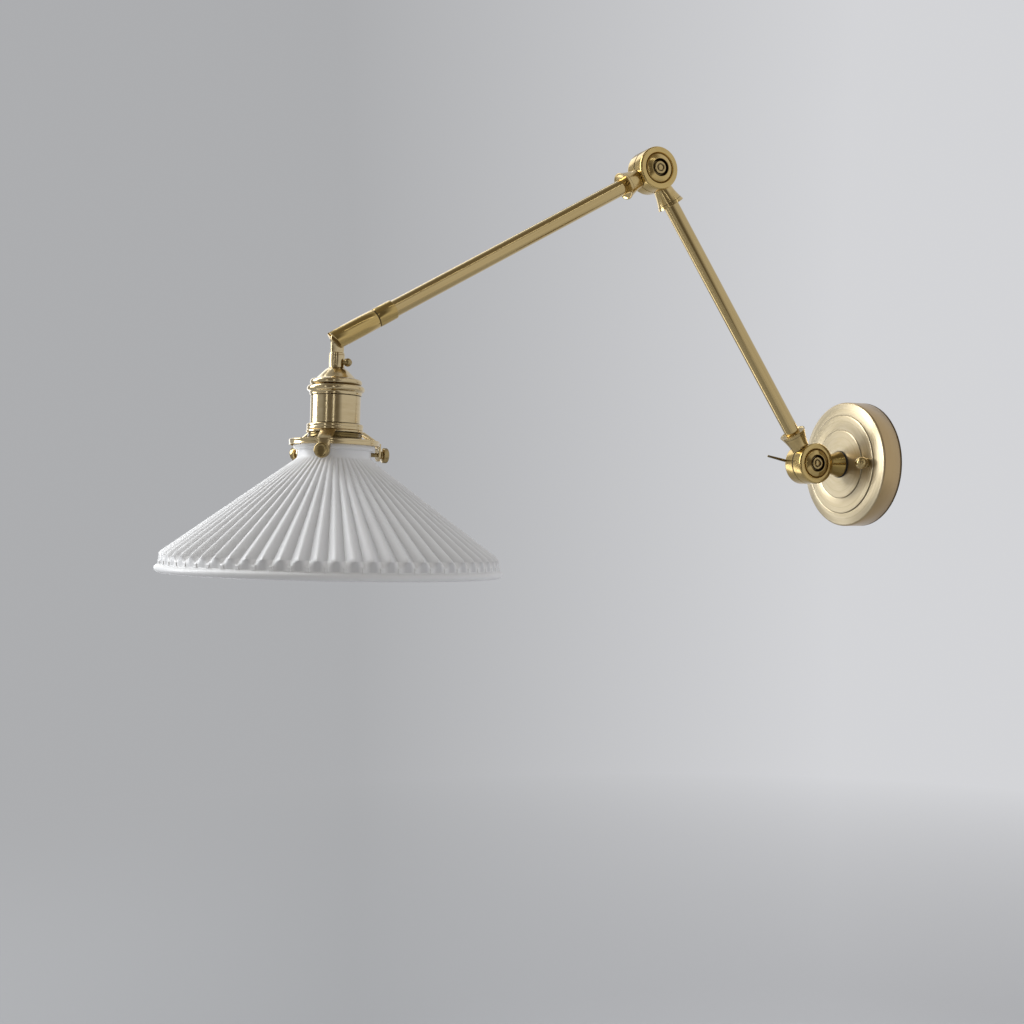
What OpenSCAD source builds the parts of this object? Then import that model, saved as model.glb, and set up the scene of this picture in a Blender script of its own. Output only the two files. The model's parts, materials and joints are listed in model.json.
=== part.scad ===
// Swing arm wall lamp: a wall plate, two jointed arms and a hinged head with a pleated shade.
// Origin: centre of the wall plate's back, on the wall. The lamp reaches towards -Y, +Z is up,
// and every knuckle turns about the X direction.

/* [Wall plate] */
// Outside diameter of the wall plate
plate_d = 103; // [88:1:130]
// Depth of the rim, from the wall to the edge of the face
plate_depth = 18; // [16:0.5:30]
// Rise of the stepped face from its edge to its centre
plate_rise = 4; // [2:0.5:8]
// Thickness of the spun sheet
plate_wall = 1.2; // [0.8:0.1:1.8]
// Diameter of the outer step in the face
outer_step_d = 81; // [76:1:84]
// Diameter of the inner step in the face
inner_step_d = 56; // [36:1:60]
// Height of each step
step_h = 0.5; // [0.2:0.1:0.8]
// Distance between the two studs that hold the plate
stud_spacing = 68; // [62:1:72]
// Diameter of the studs
stud_d = 4; // [3:0.5:5]
// Diameter of the ball nuts
ball_d = 10; // [8:0.5:12]
// Distance between the two wall screw holes of the bracket
screw_spacing = 60; // [50:1:66]
// Diameter of the wall screw holes
screw_hole_d = 4.5; // [3.5:0.5:6]
// Thickness of the bracket
bracket_t = 2; // [1.5:0.25:3]

/* [Knuckles] */
// Distance from the wall to the axis of the wall knuckle
wall_reach = 53; // [50:1:70]
// Diameter of both knuckles
knuckle_d = 33.2; // [30:0.2:38]
// Width of both knuckles along their axis
knuckle_w = 21.6; // [20:0.2:26]
// Gap between the two halves of a knuckle
knuckle_gap = 0.8; // [0.6:0.1:1.2]
// Diameter of the pivot bolts
bolt_d = 8; // [6:0.5:9]
// Diameter of the bolt heads and nuts
bolt_head_d = 12.8; // [11:0.2:14]
// Diameter of the dished recess in each face of a knuckle
dish_d = 23.6; // [20:0.2:25]
// Depth of the dished recess
dish_depth = 1.6; // [0.5:0.1:2]
// Distance from a knuckle's axis to the lip of its flared ferrules
ferrule_reach = 30; // [28:0.5:34]
// Diameter of the ferrule lips
ferrule_lip_d = 21.6; // [18:0.2:24]
// Diameter of the ferrules where they leave the knuckle
ferrule_base_d = 14.6; // [13.6:0.1:15.4]
// Length of the clamp lever from the knuckle's axis
lever_reach = 32; // [28:1:45]

/* [Arms] */
// Length of the lower arm between its knuckle axes
lower_arm_l = 270; // [180:5:400]
// Length of the upper arm from the elbow to the head hinge
upper_arm_l = 292; // [180:2:400]
// Lean of the lower arm away from the wall, from upright
lower_lean = 33.5; // [20:0.5:60]
// Drop of the upper arm below level
upper_drop = 29.7; // [10:0.1:45]
// Outside diameter of the arm tubes
tube_d = 12; // [11:0.1:12.6]
// Wall of the arm tubes
tube_wall = 1; // [0.8:0.1:1.5]
// Outside diameter of the sleeve at the end of the upper arm
sleeve_d = 13.9; // [13.6:0.1:15]
// Length of the sleeve
sleeve_l = 51; // [40:1:70]
// Length of the plain part of the sleeve, from its slotted end to the ring seam
sleeve_seam_at = 36; // [28:1:40]
// Distance by which the lower side of the sleeve's end is cut back
sleeve_cut = 2.8; // [0:0.1:3]

/* [Head] */
// Tilt of the head out of plumb
head_tilt = 1.6; // [0:0.1:6]
// Diameter of the pin in the head hinge
pin_d = 2.6; // [2:0.1:2.8]
// Thickness of the hinge tongue
tongue_t = 3; // [2:0.1:3.4]
// Diameter of the cap's neck
cap_neck_d = 11; // [10.2:0.1:12]
// Diameter of the bead round the cap
cap_bead_d = 40; // [39:0.2:42]
// Diameter of the lampholder shell
shell_d = 34.6; // [34:0.1:36]
// Diameter of the shade ring below the shell
shade_ring_d = 39; // [38:0.2:41]
// Outside diameter of the gallery's rim band
gallery_d = 62.6; // [62:0.2:66]
// Width of the gallery's sloping arms
gallery_arm_w = 10; // [8:0.5:16]
// Diameter of the thumbscrew heads
thumb_head_d = 10.6; // [8:0.2:11]
// Diameter of the thumbscrew shanks
thumb_d = 3; // [2.5:0.1:3.5]

/* [Shade] */
// Diameter over the rim bead
shade_d = 238.4; // [180:0.4:280]
// Number of pleats round the shade
pleats = 64; // [32:4:72]
// Depth of the pleats at the shoulder
pleat_depth = 3.2; // [1.5:0.1:4]
// Turn of the pleats round the head's axis
pleat_turn = 1.6; // [0:0.1:5.6]
// Diameter of the neck
shade_neck_d = 50.5; // [48:0.5:52]
// Diameter of the lip that the thumbscrews hold
shade_lip_d = 56.6; // [54:0.2:57]
// Height of the cone, from the neck to the shoulder
cone_h = 64.4; // [40:0.2:90]
// Height of the skirt below the shoulder
skirt_h = 10.4; // [10:0.2:20]
// Thickness of the wall
shade_wall = 3.6; // [3:0.1:5]
// Thickness of the rim bead
bead_t = 5.2; // [3:0.1:6]

/* [Bulb] */
// Diameter of the bulb
bulb_d = 60; // [45:1:60]
// Length of the bulb, contact to crown
bulb_l = 104; // [98:1:108]

/* [Hidden] */
$fn = 96;

// Clearances: between a turning shaft and its bore, between fixed pieces that slide together,
// and between the faces of pieces that move past each other
run_fit = 0.05;
slip_fit = 0.1;
face_gap = 0.3;

// Finishes
satin_brass = [0.72, 0.62, 0.42];
shaded_brass = [0.60, 0.50, 0.32];
zinc = [0.72, 0.72, 0.70];
black_fibre = [0.12, 0.11, 0.10];
white_glaze = [0.93, 0.93, 0.93];

// Wall plate
plate_r = plate_d / 2;
plate_edge_r = 1.5;
outer_step_r = outer_step_d / 2;
inner_step_r = inner_step_d / 2;
face_h = plate_depth + plate_rise;
outer_step_h = plate_depth + plate_rise * 0.6;
inner_step_h = face_h - step_h;
face_slope = (inner_step_h - outer_step_h - step_h) / (outer_step_r - inner_step_r);
stud_x = stud_spacing / 2;
ball_collar_d = ball_d * 0.78;
ball_collar_h = 3;
ball_seat_h = inner_step_h - face_slope * (stud_x - ball_collar_d / 2 - inner_step_r);
stud_end_h = ball_seat_h + 7;
bracket_w = 18;
cable_hole_d = 12;
stud_bar_l = stud_spacing + 15;
screw_bar_l = screw_spacing + 14;
nut_across = 7;
nut_t = 3.2;

// Wall neck: its tail passes through the washer and the plate into the lock nut
tail_d = 10;
tail_bore_d = 6;
washer_t = 0.8;
washer_d = ferrule_lip_d + 0.8;
neck_lip_h = face_h + washer_t + face_gap;
spring_washer_t = 1.2;
locknut_t = 4;
locknut_across = 14;
spring_washer_top = face_h - plate_wall - face_gap;
locknut_top = spring_washer_top - spring_washer_t;
tail_end_h = locknut_top - locknut_t - 1.5;

// Terminal block on the bracket's upper leg
block_w = 24;
block_l = 12;
block_t = 10;
block_z = 12.5;
terminal_pitch = 7.4;
terminal_bore_d = 3.6;

// Knuckles, measured along their axis from the middle plane
knuckle_r = knuckle_d / 2;
half_gap = knuckle_gap / 2;
half_w = knuckle_w / 2;
knuckle_edge_r = 1.2;
knuckle_wall = 2.4;
boss_r = bolt_d / 2 + 2;
cavity_x = half_w - 4.4;
dish_x = half_w - dish_depth;
dish_centre_x = half_w - dish_depth * 0.4;
seat_x = dish_x - 1;
seat_r = bolt_head_d / 2 + 0.4;
bolt_head_top = half_w + 0.2;
bolt_bore_r = bolt_d / 2 + run_fit;
nut_x = seat_x + face_gap;
cap_nut_h = 7;
bolt_end_x = nut_x + 5;
lever_hub_h = 7.7;
lever_x = nut_x + 5.1;
lever_base_d = 2.4;
lever_tip_d = 1.8;
lever_rise = 11.5;
wire_bore_d = 4.6;
wire_bore_x = half_gap + wire_bore_d / 2 + 0.5;
wire_bore_z = boss_r + 2;

// Ferrules, measured along the arm from the knuckle's axis
ferrule_start = knuckle_r + 0.35;
flare_start = knuckle_r - 0.4;
ferrule_base_r = ferrule_base_d / 2;
ferrule_lip_r = ferrule_lip_d / 2;
ferrule_wall = 1;
flare_power = 1.5;
tube_r = tube_d / 2;
tube_seat = knuckle_r + 4;
socket_floor = tube_seat - slip_fit;
mouth_start = ferrule_reach - 4;
flare_steps = 10;

// Head hinge and sleeve
hinge_end = 3.8;
tongue_eye_r = 5;
slot_w = tongue_t + 2 * face_gap;
slot_depth = tongue_eye_r + 0.6;
sleeve_plug = 15;
sleeve_wire_d = 4;
seam_w = 0.7;
seam_depth = 0.5;
tongue_bar_w = 9;

// Stations down the head's axis from the hinge
shoulder_s = 9.6;
neck_s = 11.2;
lock_s = 16.5;
stud_end_s = 19.2;
dome_s = 20.2;
roll_s = 28.2;
bead_s = 32.7;
cap_step_s = 37.3;
shell_s = 39.7;
spigot_s = 43.9;
insert_floor_s = 48.5;
thread_s = 59.4;
ring_h = 4.6;
hub_s = thread_s + ring_h;
hub_t = 1.4;
lower_ring_s = hub_s + hub_t;
lower_ring_h = 4;
shell_end_s = 71.5;
band_s = 70.7;
band_end_s = 74.6;
thumb_s = 79.5;
lug_end_s = 83.9;

// Lampholder
shell_r = shell_d / 2;
shell_wall = 1;
thread_r = shell_r - 0.9;
thread_wall = 1.2;
stud_r = cap_neck_d / 2 - 1.25;
stud_bore_r = stud_r + slip_fit;
roll_r = cap_bead_d / 2 - 2;
dome_top_r = cap_neck_d / 2 + 1.5;
dome_end_r = roll_r - 3.6;
step_r = roll_r;
cap_wall = 1;
insert_r = thread_r - thread_wall - slip_fit;
insert_end_s = shell_end_s - 1;
screw_shell_r = insert_r - 0.9;
screw_shell_wall = 0.4;
screw_shell_end_s = insert_end_s - 3;
lock_head_d = 6;
lock_turn = 45;

// Gallery and thumbscrews; the screws stand at these turns about the head's axis
gallery_r = gallery_d / 2;
band_t = 1.1;
lug_t = 1.6;
lug_w = 9;
right_turn = -30;
left_turn = 210;
back_turn = 90;
lug_r = gallery_r + lug_t - 0.1;
thumb_head_at = lug_r + 2;
thumb_head_t = 4;

// Shade: the lip rests on the thumbscrew shanks
lip_s = thumb_s - thumb_d / 2 - face_gap;
lip_h = 4.2;
shade_top_s = lip_s - lip_h;
neck_r = shade_neck_d / 2;
lip_r = shade_lip_d / 2;
thumb_tip_r = neck_r + face_gap;
cone_s = thumb_s + 4.4;
shoulder_end_s = cone_s + cone_h;
skirt_end_s = shoulder_end_s + skirt_h;
rim_r = shade_d / 2;
skirt_r = rim_r - 2.6;

// Bulb
bulb_cap_r = 13;
bulb_tip_s = insert_floor_s + 1.4;
bulb_glass_s = bulb_tip_s + 25.5;
bulb_r = bulb_d / 2;
bulb_centre_s = bulb_tip_s + bulb_l - bulb_r;
bulb_wall = 1;

// Points of an arc from angle a to angle b
function arc(cx, cy, r, a, b, n) =
    [for (i = [0:n]) [cx + r * cos(a + (b - a) * i / n), cy + r * sin(a + (b - a) * i / n)]];

// Places a piece built along +Z so that it stands out from the wall
module from_wall() {
    rotate([90, 0, 0]) children();
}

// Frames of the knuckle axes and arms: +Z runs along the arm, X along the knuckle
module at_wall_knuckle() {
    translate([0, -wall_reach, 0]) children();
}

module along_lower_arm() {
    at_wall_knuckle() rotate([lower_lean, 0, 0]) children();
}

module at_elbow() {
    along_lower_arm() translate([0, 0, lower_arm_l]) rotate([-lower_lean, 0, 0]) children();
}

module along_upper_arm() {
    at_elbow() rotate([90 + upper_drop, 0, 0]) children();
}

// Frame of the head: origin on the hinge pin, +Z down the head's axis
module down_head() {
    along_upper_arm() translate([0, 0, upper_arm_l])
        rotate([90 - upper_drop - head_tilt, 0, 0]) children();
}

// Turns a revolved piece so that its axis lies along X, growing towards the given side
module on_axis(side) {
    rotate([0, side * 90, 0]) children();
}

module tube_piece(r, wall, z0, z1) {
    difference() {
        translate([0, 0, z0]) cylinder(r = r, h = z1 - z0);
        translate([0, 0, z0 - 1]) cylinder(r = r - wall, h = z1 - z0 + 2);
    }
}

// Section of a stepped plate, lowered by t for the inner skin
function plate_face(t) = [
    [plate_r - plate_edge_r, plate_depth - t],
    [outer_step_r - t * 0.5, outer_step_h - t],
    [outer_step_r - t * 0.5, outer_step_h + step_h - t],
    [inner_step_r - t * 0.5, inner_step_h - t],
    [inner_step_r - t * 0.5, face_h - t]
];

module plate_section() {
    edge = arc(plate_r - plate_edge_r, plate_depth - plate_edge_r, plate_edge_r, 0, 90, 6);
    outside = concat([[plate_r, 0]], edge, [for (i = [1:4]) plate_face(0)[i]]);
    inside = [for (i = [4:-1:0]) plate_face(plate_wall)[i]];
    hole_r = tail_d / 2 + run_fit;
    rim_inner_r = plate_r - plate_wall;
    back = [[rim_inner_r, plate_depth - plate_edge_r - plate_wall], [rim_inner_r, 0]];
    polygon(concat(outside, [[hole_r, face_h], [hole_r, face_h - plate_wall]], inside, back));
}

module wall_plate() {
    color(satin_brass) from_wall() difference() {
        rotate_extrude() plate_section();
        for (side = [-1, 1])
            translate([side * stud_x, 0, plate_depth - plate_wall])
                cylinder(d = stud_d + 4 * slip_fit, h = plate_depth);
    }
}

module bracket_bar(length, turn) {
    rotate([0, 0, turn]) translate([-length / 2, -bracket_w / 2, 0]) cube([length, bracket_w, bracket_t]);
}

module wall_bracket() {
    color(zinc) from_wall() difference() {
        union() {
            bracket_bar(stud_bar_l, 0);
            bracket_bar(screw_bar_l, 90);
        }
        for (side = [-1, 1]) {
            translate([0, side * screw_spacing / 2, -1]) cylinder(d = screw_hole_d, h = bracket_t + 2);
            translate([side * stud_x, 0, -1]) cylinder(d = stud_d + 2 * run_fit, h = bracket_t + 2);
        }
        translate([0, 0, -1]) cylinder(d = cable_hole_d, h = bracket_t + 2);
    }
}

module mounting_studs() {
    color(zinc) from_wall() for (side = [-1, 1])
        translate([side * stud_x, 0, 0]) cylinder(d = stud_d, h = stud_end_h);
}

module hex_nut(across, thickness, bore) {
    difference() {
        cylinder(r = across / 2 / cos(30), h = thickness, $fn = 6);
        translate([0, 0, -1]) cylinder(d = bore, h = thickness + 2);
    }
}

module stud_locknuts() {
    color(zinc) from_wall() for (side = [-1, 1])
        translate([side * stud_x, 0, bracket_t]) hex_nut(nut_across, nut_t, stud_d + 2 * run_fit);
}

// Ball nut with a short collar and a blind bore
module ball_nut() {
    ball_r = ball_d / 2;
    collar_r = ball_collar_d / 2;
    start = asin(-collar_r / ball_r * 0.72);
    bore_r = stud_d / 2 + run_fit;
    bore_h = stud_end_h - ball_seat_h + 0.5;
    centre_h = ball_collar_h - ball_r * sin(start);
    rotate_extrude() polygon(concat(
        [[bore_r, 0], [collar_r, 0], [collar_r, ball_collar_h]],
        arc(0, centre_h, ball_r, start, 90, 16),
        [[0, bore_h], [bore_r, bore_h]]));
}

module ball_nuts() {
    color(satin_brass) from_wall() for (side = [-1, 1])
        translate([side * stud_x, 0, ball_seat_h]) ball_nut();
}

module terminal_block() {
    color([0.85, 0.83, 0.78]) from_wall() translate([0, block_z, bracket_t]) difference() {
        union() {
            translate([-block_w / 2, 0, 0]) cube([block_w, block_l, block_t * 0.6]);
            for (i = [-1:1])
                translate([i * terminal_pitch - 2.9, 0, 0]) cube([5.8, block_l, block_t]);
        }
        for (i = [-1:1]) translate([i * terminal_pitch, 0, 0]) {
            translate([0, -1, block_t * 0.32]) rotate([-90, 0, 0])
                cylinder(d = terminal_bore_d, h = block_l + 2);
            for (end = [0.25, 0.75])
                translate([0, block_l * end, block_t - 3]) cylinder(d = 3.2, h = 4);
        }
    }
}

module swivel_washer() {
    color(black_fibre) from_wall() translate([0, 0, face_h]) difference() {
        cylinder(d = washer_d, h = washer_t);
        translate([0, 0, -1]) cylinder(d = tail_d + 0.4, h = washer_t + 2);
    }
}

module neck_spring_washer() {
    color(zinc) from_wall() translate([0, 0, locknut_top]) difference() {
        cylinder(d = locknut_across + 3, h = spring_washer_t);
        translate([0, 0, -1]) cylinder(d = tail_d + 2 * slip_fit, h = spring_washer_t + 2);
    }
}

module neck_locknut() {
    color(zinc) from_wall() translate([0, 0, locknut_top - locknut_t])
        hex_nut(locknut_across, locknut_t, tail_d + 2 * run_fit);
}

// Points of a flared ferrule's outline, from the knuckle to its lip, drawn in by t
function flare_line(reach, t) = [for (i = [0:flare_steps])
    let (f = i / flare_steps)
    [ferrule_base_r + (ferrule_lip_r - ferrule_base_r) * pow(f, flare_power) - t,
        flare_start + (reach - flare_start) * f]];

// Half of a knuckle: a dished disc with a hollow for the flex round the bolt's boss
module knuckle_half(side) {
    edge = arc(knuckle_r - knuckle_edge_r, half_w - knuckle_edge_r, knuckle_edge_r, 0, 90, 6);
    on_axis(side) rotate_extrude() polygon(concat(
        [[bolt_bore_r, half_gap], [boss_r, half_gap], [boss_r, cavity_x],
            [knuckle_r - knuckle_wall, cavity_x], [knuckle_r - knuckle_wall, half_gap],
            [knuckle_r, half_gap]],
        edge,
        [[dish_d / 2 + 0.5, half_w], [dish_d / 2, half_w - 0.4], [dish_d / 2 - 0.5, dish_x],
            [dish_d / 2 - 1.6, dish_x], [seat_r + 1, dish_centre_x], [seat_r, dish_centre_x],
            [seat_r, seat_x], [bolt_bore_r, seat_x]]));
}

// Solid trumpet from the knuckle's middle to the lip, without its bores
module trumpet_body(reach) {
    rotate_extrude() polygon(concat(
        [[0, knuckle_r - 5], [ferrule_base_r, knuckle_r - 5]],
        flare_line(reach, 0),
        [[0, reach]]));
}

// Hollow of a ferrule that holds a tube: a socket that opens into the flared mouth
module tube_socket() {
    socket_r = tube_r + run_fit;
    mouth = [for (p = flare_line(ferrule_reach, ferrule_wall)) if (p[1] > mouth_start) p];
    rotate_extrude() polygon(concat(
        [[0, socket_floor], [socket_r, socket_floor], [socket_r, mouth_start]],
        mouth,
        [[ferrule_lip_r - ferrule_wall, ferrule_reach + 1], [0, ferrule_reach + 1]]));
}

// One half of a knuckle with its stub; the stub is cut back where the other half turns
module knuckle_arm(side, arm_turn, reach) {
    difference() {
        union() {
            rotate([arm_turn, 0, 0]) difference() {
                trumpet_body(reach);
                on_axis(side) translate([0, 0, half_gap]) cylinder(r = knuckle_r - 1, h = knuckle_w);
                on_axis(-side) translate([0, 0, -half_gap]) cylinder(r = ferrule_start, h = knuckle_w);
            }
            knuckle_half(side);
        }
        rotate([arm_turn, 0, 0]) {
            translate([side * wire_bore_x, 0, wire_bore_z])
                cylinder(d = wire_bore_d, h = tube_seat + 1 - wire_bore_z);
            children();
        }
    }
}

// Neck with the near half of the wall knuckle; its tail passes through the wall plate
module wall_neck() {
    reach = wall_reach - neck_lip_h;
    tail_end = wall_reach - tail_end_h;
    bore_r = tail_bore_d / 2;
    color(satin_brass) at_wall_knuckle() {
        knuckle_arm(1, -90, reach) translate([0, 0, tube_seat]) cylinder(r = bore_r, h = tail_end);
        rotate([-90, 0, 0]) tube_piece(tail_d / 2, tail_d / 2 - bore_r, reach - 1, tail_end);
    }
}

// Revolved head of a pivot bolt with raised rings, its face towards +Z
module ringed_face(base_z) {
    r = bolt_head_d / 2;
    t = bolt_head_top;
    rotate_extrude() polygon([
        [0, base_z], [r, base_z], [r, t - 0.6], [r - 0.5, t - 0.1], [r - 1.1, t], [r - 1.5, t - 0.9],
        [r - 2.2, t - 0.9], [r - 2.7, t - 0.1], [r - 3.3, t], [r - 3.8, t - 0.7], [r - 4.6, t - 0.7],
        [0.9, t - 0.3], [0.6, t - 1.1], [0, t - 1.1]]);
}

module pivot_bolt() {
    on_axis(1) {
        ringed_face(seat_x);
        translate([0, 0, -bolt_end_x]) cylinder(d = bolt_d, h = bolt_end_x + seat_x + 0.5);
    }
}

// Fibre ring that fills the gap between the two halves, fixed to the near half
module friction_ring() {
    on_axis(1) translate([0, 0, face_gap - half_gap]) difference() {
        cylinder(r = knuckle_r - 0.3, h = knuckle_gap - face_gap);
        translate([0, 0, -1]) cylinder(r = knuckle_r - knuckle_wall, h = knuckle_gap + 2);
    }
}

module wall_pivot_bolt() {
    color(shaded_brass) at_wall_knuckle() pivot_bolt();
}

module wall_friction_ring() {
    color(black_fibre) at_wall_knuckle() friction_ring();
}

module clamp_lever() {
    hub_r = bolt_head_d / 2;
    color(shaded_brass) at_wall_knuckle() difference() {
        union() {
            on_axis(-1) rotate_extrude() polygon([
                [0, nut_x], [hub_r, nut_x], [hub_r, nut_x + lever_hub_h - 1.5],
                [hub_r - 1.5, nut_x + lever_hub_h], [0, nut_x + lever_hub_h]]);
            translate([-lever_x, 0, 0]) rotate([90 - lever_rise, 0, 0]) rotate_extrude() polygon(concat(
                [[0, hub_r - 2], [lever_base_d / 2, hub_r - 2]],
                arc(0, lever_reach - lever_tip_d / 2, lever_tip_d / 2, 0, 90, 4)));
        }
        on_axis(-1) translate([0, 0, nut_x - 1]) cylinder(r = bolt_bore_r, h = bolt_end_x - nut_x + 1.3);
    }
}

module lower_arm_base() {
    color(satin_brass) at_wall_knuckle() knuckle_arm(-1, lower_lean, ferrule_reach) tube_socket();
}

module lower_tube() {
    color(satin_brass) along_lower_arm()
        tube_piece(tube_r, tube_wall, tube_seat, lower_arm_l - tube_seat);
}

module elbow_lower_half() {
    color(satin_brass) at_elbow() knuckle_arm(1, 180 + lower_lean, ferrule_reach) tube_socket();
}

module elbow_bolt() {
    color(shaded_brass) at_elbow() pivot_bolt();
}

module elbow_friction_ring() {
    color(black_fibre) at_elbow() friction_ring();
}

// Domed hexagon nut on the far end of the elbow's bolt
module elbow_nut() {
    nut_r = bolt_head_d / 2;
    color(shaded_brass) at_elbow() on_axis(-1) difference() {
        union() {
            translate([0, 0, nut_x]) cylinder(r = nut_r, h = cap_nut_h * 0.6, $fn = 6);
            translate([0, 0, nut_x]) intersection() {
                cylinder(r = nut_r * 0.84, h = cap_nut_h);
                translate([0, 0, cap_nut_h - nut_r * 1.1]) sphere(r = nut_r * 1.1);
            }
        }
        translate([0, 0, nut_x - 1]) cylinder(r = bolt_bore_r, h = bolt_end_x - nut_x + 1.3);
    }
}

module elbow_upper_half() {
    color(satin_brass) at_elbow() knuckle_arm(-1, 90 + upper_drop, ferrule_reach) tube_socket();
}

module upper_tube() {
    color(satin_brass) along_upper_arm()
        tube_piece(tube_r, tube_wall, tube_seat, upper_arm_l - sleeve_plug - slip_fit);
}

// Sleeve over the end of the upper tube, solid and slotted at the head hinge
module arm_sleeve() {
    r = sleeve_d / 2;
    end = upper_arm_l + hinge_end;
    top = end - sleeve_l;
    seam = end - sleeve_seam_at;
    bore_r = tube_r + run_fit;
    plug = upper_arm_l - sleeve_plug;
    color(satin_brass) along_upper_arm() difference() {
        rotate_extrude() polygon([
            [bore_r, top], [r - 0.4, top], [r, top + 0.4], [r, seam - seam_w / 2], [r - seam_depth, seam],
            [r, seam + seam_w / 2], [r, end], [0, end], [0, plug], [bore_r, plug]]);
        translate([-slot_w / 2, -r - 1, upper_arm_l - slot_depth])
            cube([slot_w, sleeve_d + 2, slot_depth + hinge_end + 1]);
        translate([-r - 1, r, end]) rotate([atan2(sleeve_cut, sleeve_d), 0, 0])
            translate([0, -2 * sleeve_d, 0]) cube([sleeve_d + 2, 3 * sleeve_d, hinge_end]);
        translate([0, 0, plug - 1]) cylinder(d = sleeve_wire_d, h = sleeve_plug);
        translate([-r - 1, 0, upper_arm_l]) on_axis(1) cylinder(r = pin_d / 2 + run_fit, h = 2 * r + 2);
    }
}

module hinge_pin() {
    length = sleeve_d - 0.5;
    color(shaded_brass) along_upper_arm() translate([-length / 2, 0, upper_arm_l])
        on_axis(1) cylinder(d = pin_d, h = length);
}

// Tongue on the hinge pin, with a shoulder and a stud for the cap's neck
module hinge_tongue() {
    color(satin_brass) down_head() difference() {
        union() {
            translate([-tongue_t / 2, 0, 0]) on_axis(1) cylinder(r = tongue_eye_r, h = tongue_t);
            translate([-tongue_t / 2, -tongue_bar_w / 2, 0])
                cube([tongue_t, tongue_bar_w, shoulder_s + 0.5]);
            translate([0, 0, shoulder_s]) cylinder(d = cap_neck_d - 0.4, h = neck_s - shoulder_s);
            translate([0, 0, shoulder_s]) cylinder(r = stud_r, h = stud_end_s - shoulder_s);
        }
        translate([-tongue_t, 0, 0]) on_axis(1) cylinder(r = pin_d / 2 + run_fit, h = 2 * tongue_t);
    }
}

module lampholder_cap() {
    neck = cap_neck_d / 2;
    roll_half = (bead_s - roll_s) / 2;
    bead_half = (cap_step_s - bead_s) / 2;
    spigot_r = shell_r - shell_wall - slip_fit;
    color(satin_brass) down_head() difference() {
        rotate_extrude() polygon(concat(
            [[stud_bore_r, neck_s], [neck - 0.3, neck_s], [neck, neck_s + 0.3], [neck, dome_s],
                [dome_top_r, dome_s + 0.8], [dome_end_r, roll_s + 0.1]],
            arc(roll_r - roll_half, roll_s + roll_half, roll_half, -60, 70, 8),
            arc(cap_bead_d / 2 - bead_half, bead_s + bead_half, bead_half, -75, 70, 8),
            [[step_r, cap_step_s], [step_r, shell_s - 0.4], [step_r - 0.4, shell_s],
                [spigot_r, shell_s], [spigot_r, spigot_s], [spigot_r - cap_wall, spigot_s],
                [spigot_r - cap_wall, bead_s], [stud_bore_r + 3, dome_s + 3.4],
                [stud_bore_r, dome_s + 2]]));
        rotate([0, 0, -lock_turn]) translate([0, 0, lock_s])
            on_axis(1) cylinder(d = 3 + 2 * run_fit, h = neck + 1);
    }
}

// Round-headed screw that grips the tongue's stud through the cap's neck
module lock_screw() {
    neck = cap_neck_d / 2;
    color(shaded_brass) down_head() rotate([0, 0, -lock_turn]) translate([0, 0, lock_s]) on_axis(1) {
        translate([0, 0, stud_r]) cylinder(d = 3, h = neck + 1.5 - stud_r);
        translate([0, 0, neck + 1]) rotate_extrude() polygon(concat(
            [[0, 0], [lock_head_d / 2 - 0.6, 0]],
            arc(0, 2, lock_head_d / 2, -30, 90, 12)));
    }
}

module lampholder_shell() {
    color(satin_brass) down_head() rotate_extrude() polygon([
        [shell_r - shell_wall, shell_s], [shell_r, shell_s], [shell_r, thread_s], [thread_r, thread_s],
        [thread_r, shell_end_s], [thread_r - thread_wall, shell_end_s],
        [thread_r - thread_wall, spigot_s + 2],
        [shell_r - shell_wall, spigot_s + 1]]);
}

// Threaded ring with rounded edges
module shade_ring(outer_r, s0, height) {
    round_r = 1;
    rotate_extrude() polygon(concat(
        [[thread_r + run_fit, s0]],
        arc(outer_r - round_r, s0 + round_r, round_r, -90, 0, 4),
        arc(outer_r - round_r, s0 + height - round_r, round_r, 0, 90, 4),
        [[thread_r + run_fit, s0 + height]]));
}

module upper_shade_ring() {
    color(satin_brass) down_head() shade_ring(shade_ring_d / 2, thread_s, ring_h);
}

module lower_shade_ring() {
    color(shaded_brass) down_head() shade_ring(shade_ring_d / 2 - 0.8, lower_ring_s, lower_ring_h);
}

module socket_ceramic() {
    color([0.88, 0.86, 0.80]) down_head() rotate_extrude() polygon([
        [2, spigot_s], [insert_r, spigot_s], [insert_r, insert_end_s],
        [screw_shell_r + run_fit, insert_end_s], [screw_shell_r + run_fit, insert_floor_s],
        [2, insert_floor_s]]);
}

module screw_shell() {
    color([0.80, 0.68, 0.40]) down_head() difference() {
        translate([0, 0, insert_floor_s])
            cylinder(r = screw_shell_r, h = screw_shell_end_s - insert_floor_s);
        translate([0, 0, insert_floor_s + screw_shell_wall])
            cylinder(r = screw_shell_r - screw_shell_wall, h = screw_shell_end_s);
        translate([0, 0, insert_floor_s - 1]) cylinder(r = 8, h = 3);
    }
}

module centre_contact() {
    color([0.80, 0.68, 0.40]) down_head() translate([0, 0, insert_floor_s - 3]) {
        cylinder(r = 1.9, h = 3.2);
        translate([0, 0, 3]) cylinder(r1 = 4.5, r2 = 3, h = 1.2);
    }
}

// Keeps what lies in a strip of the given width on one side of the axis
module sector(turn, width) {
    intersection() {
        children();
        rotate([0, 0, -turn]) translate([0, -width / 2, hub_s - 5])
            cube([gallery_r * 2, width, lug_end_s]);
    }
}

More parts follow.
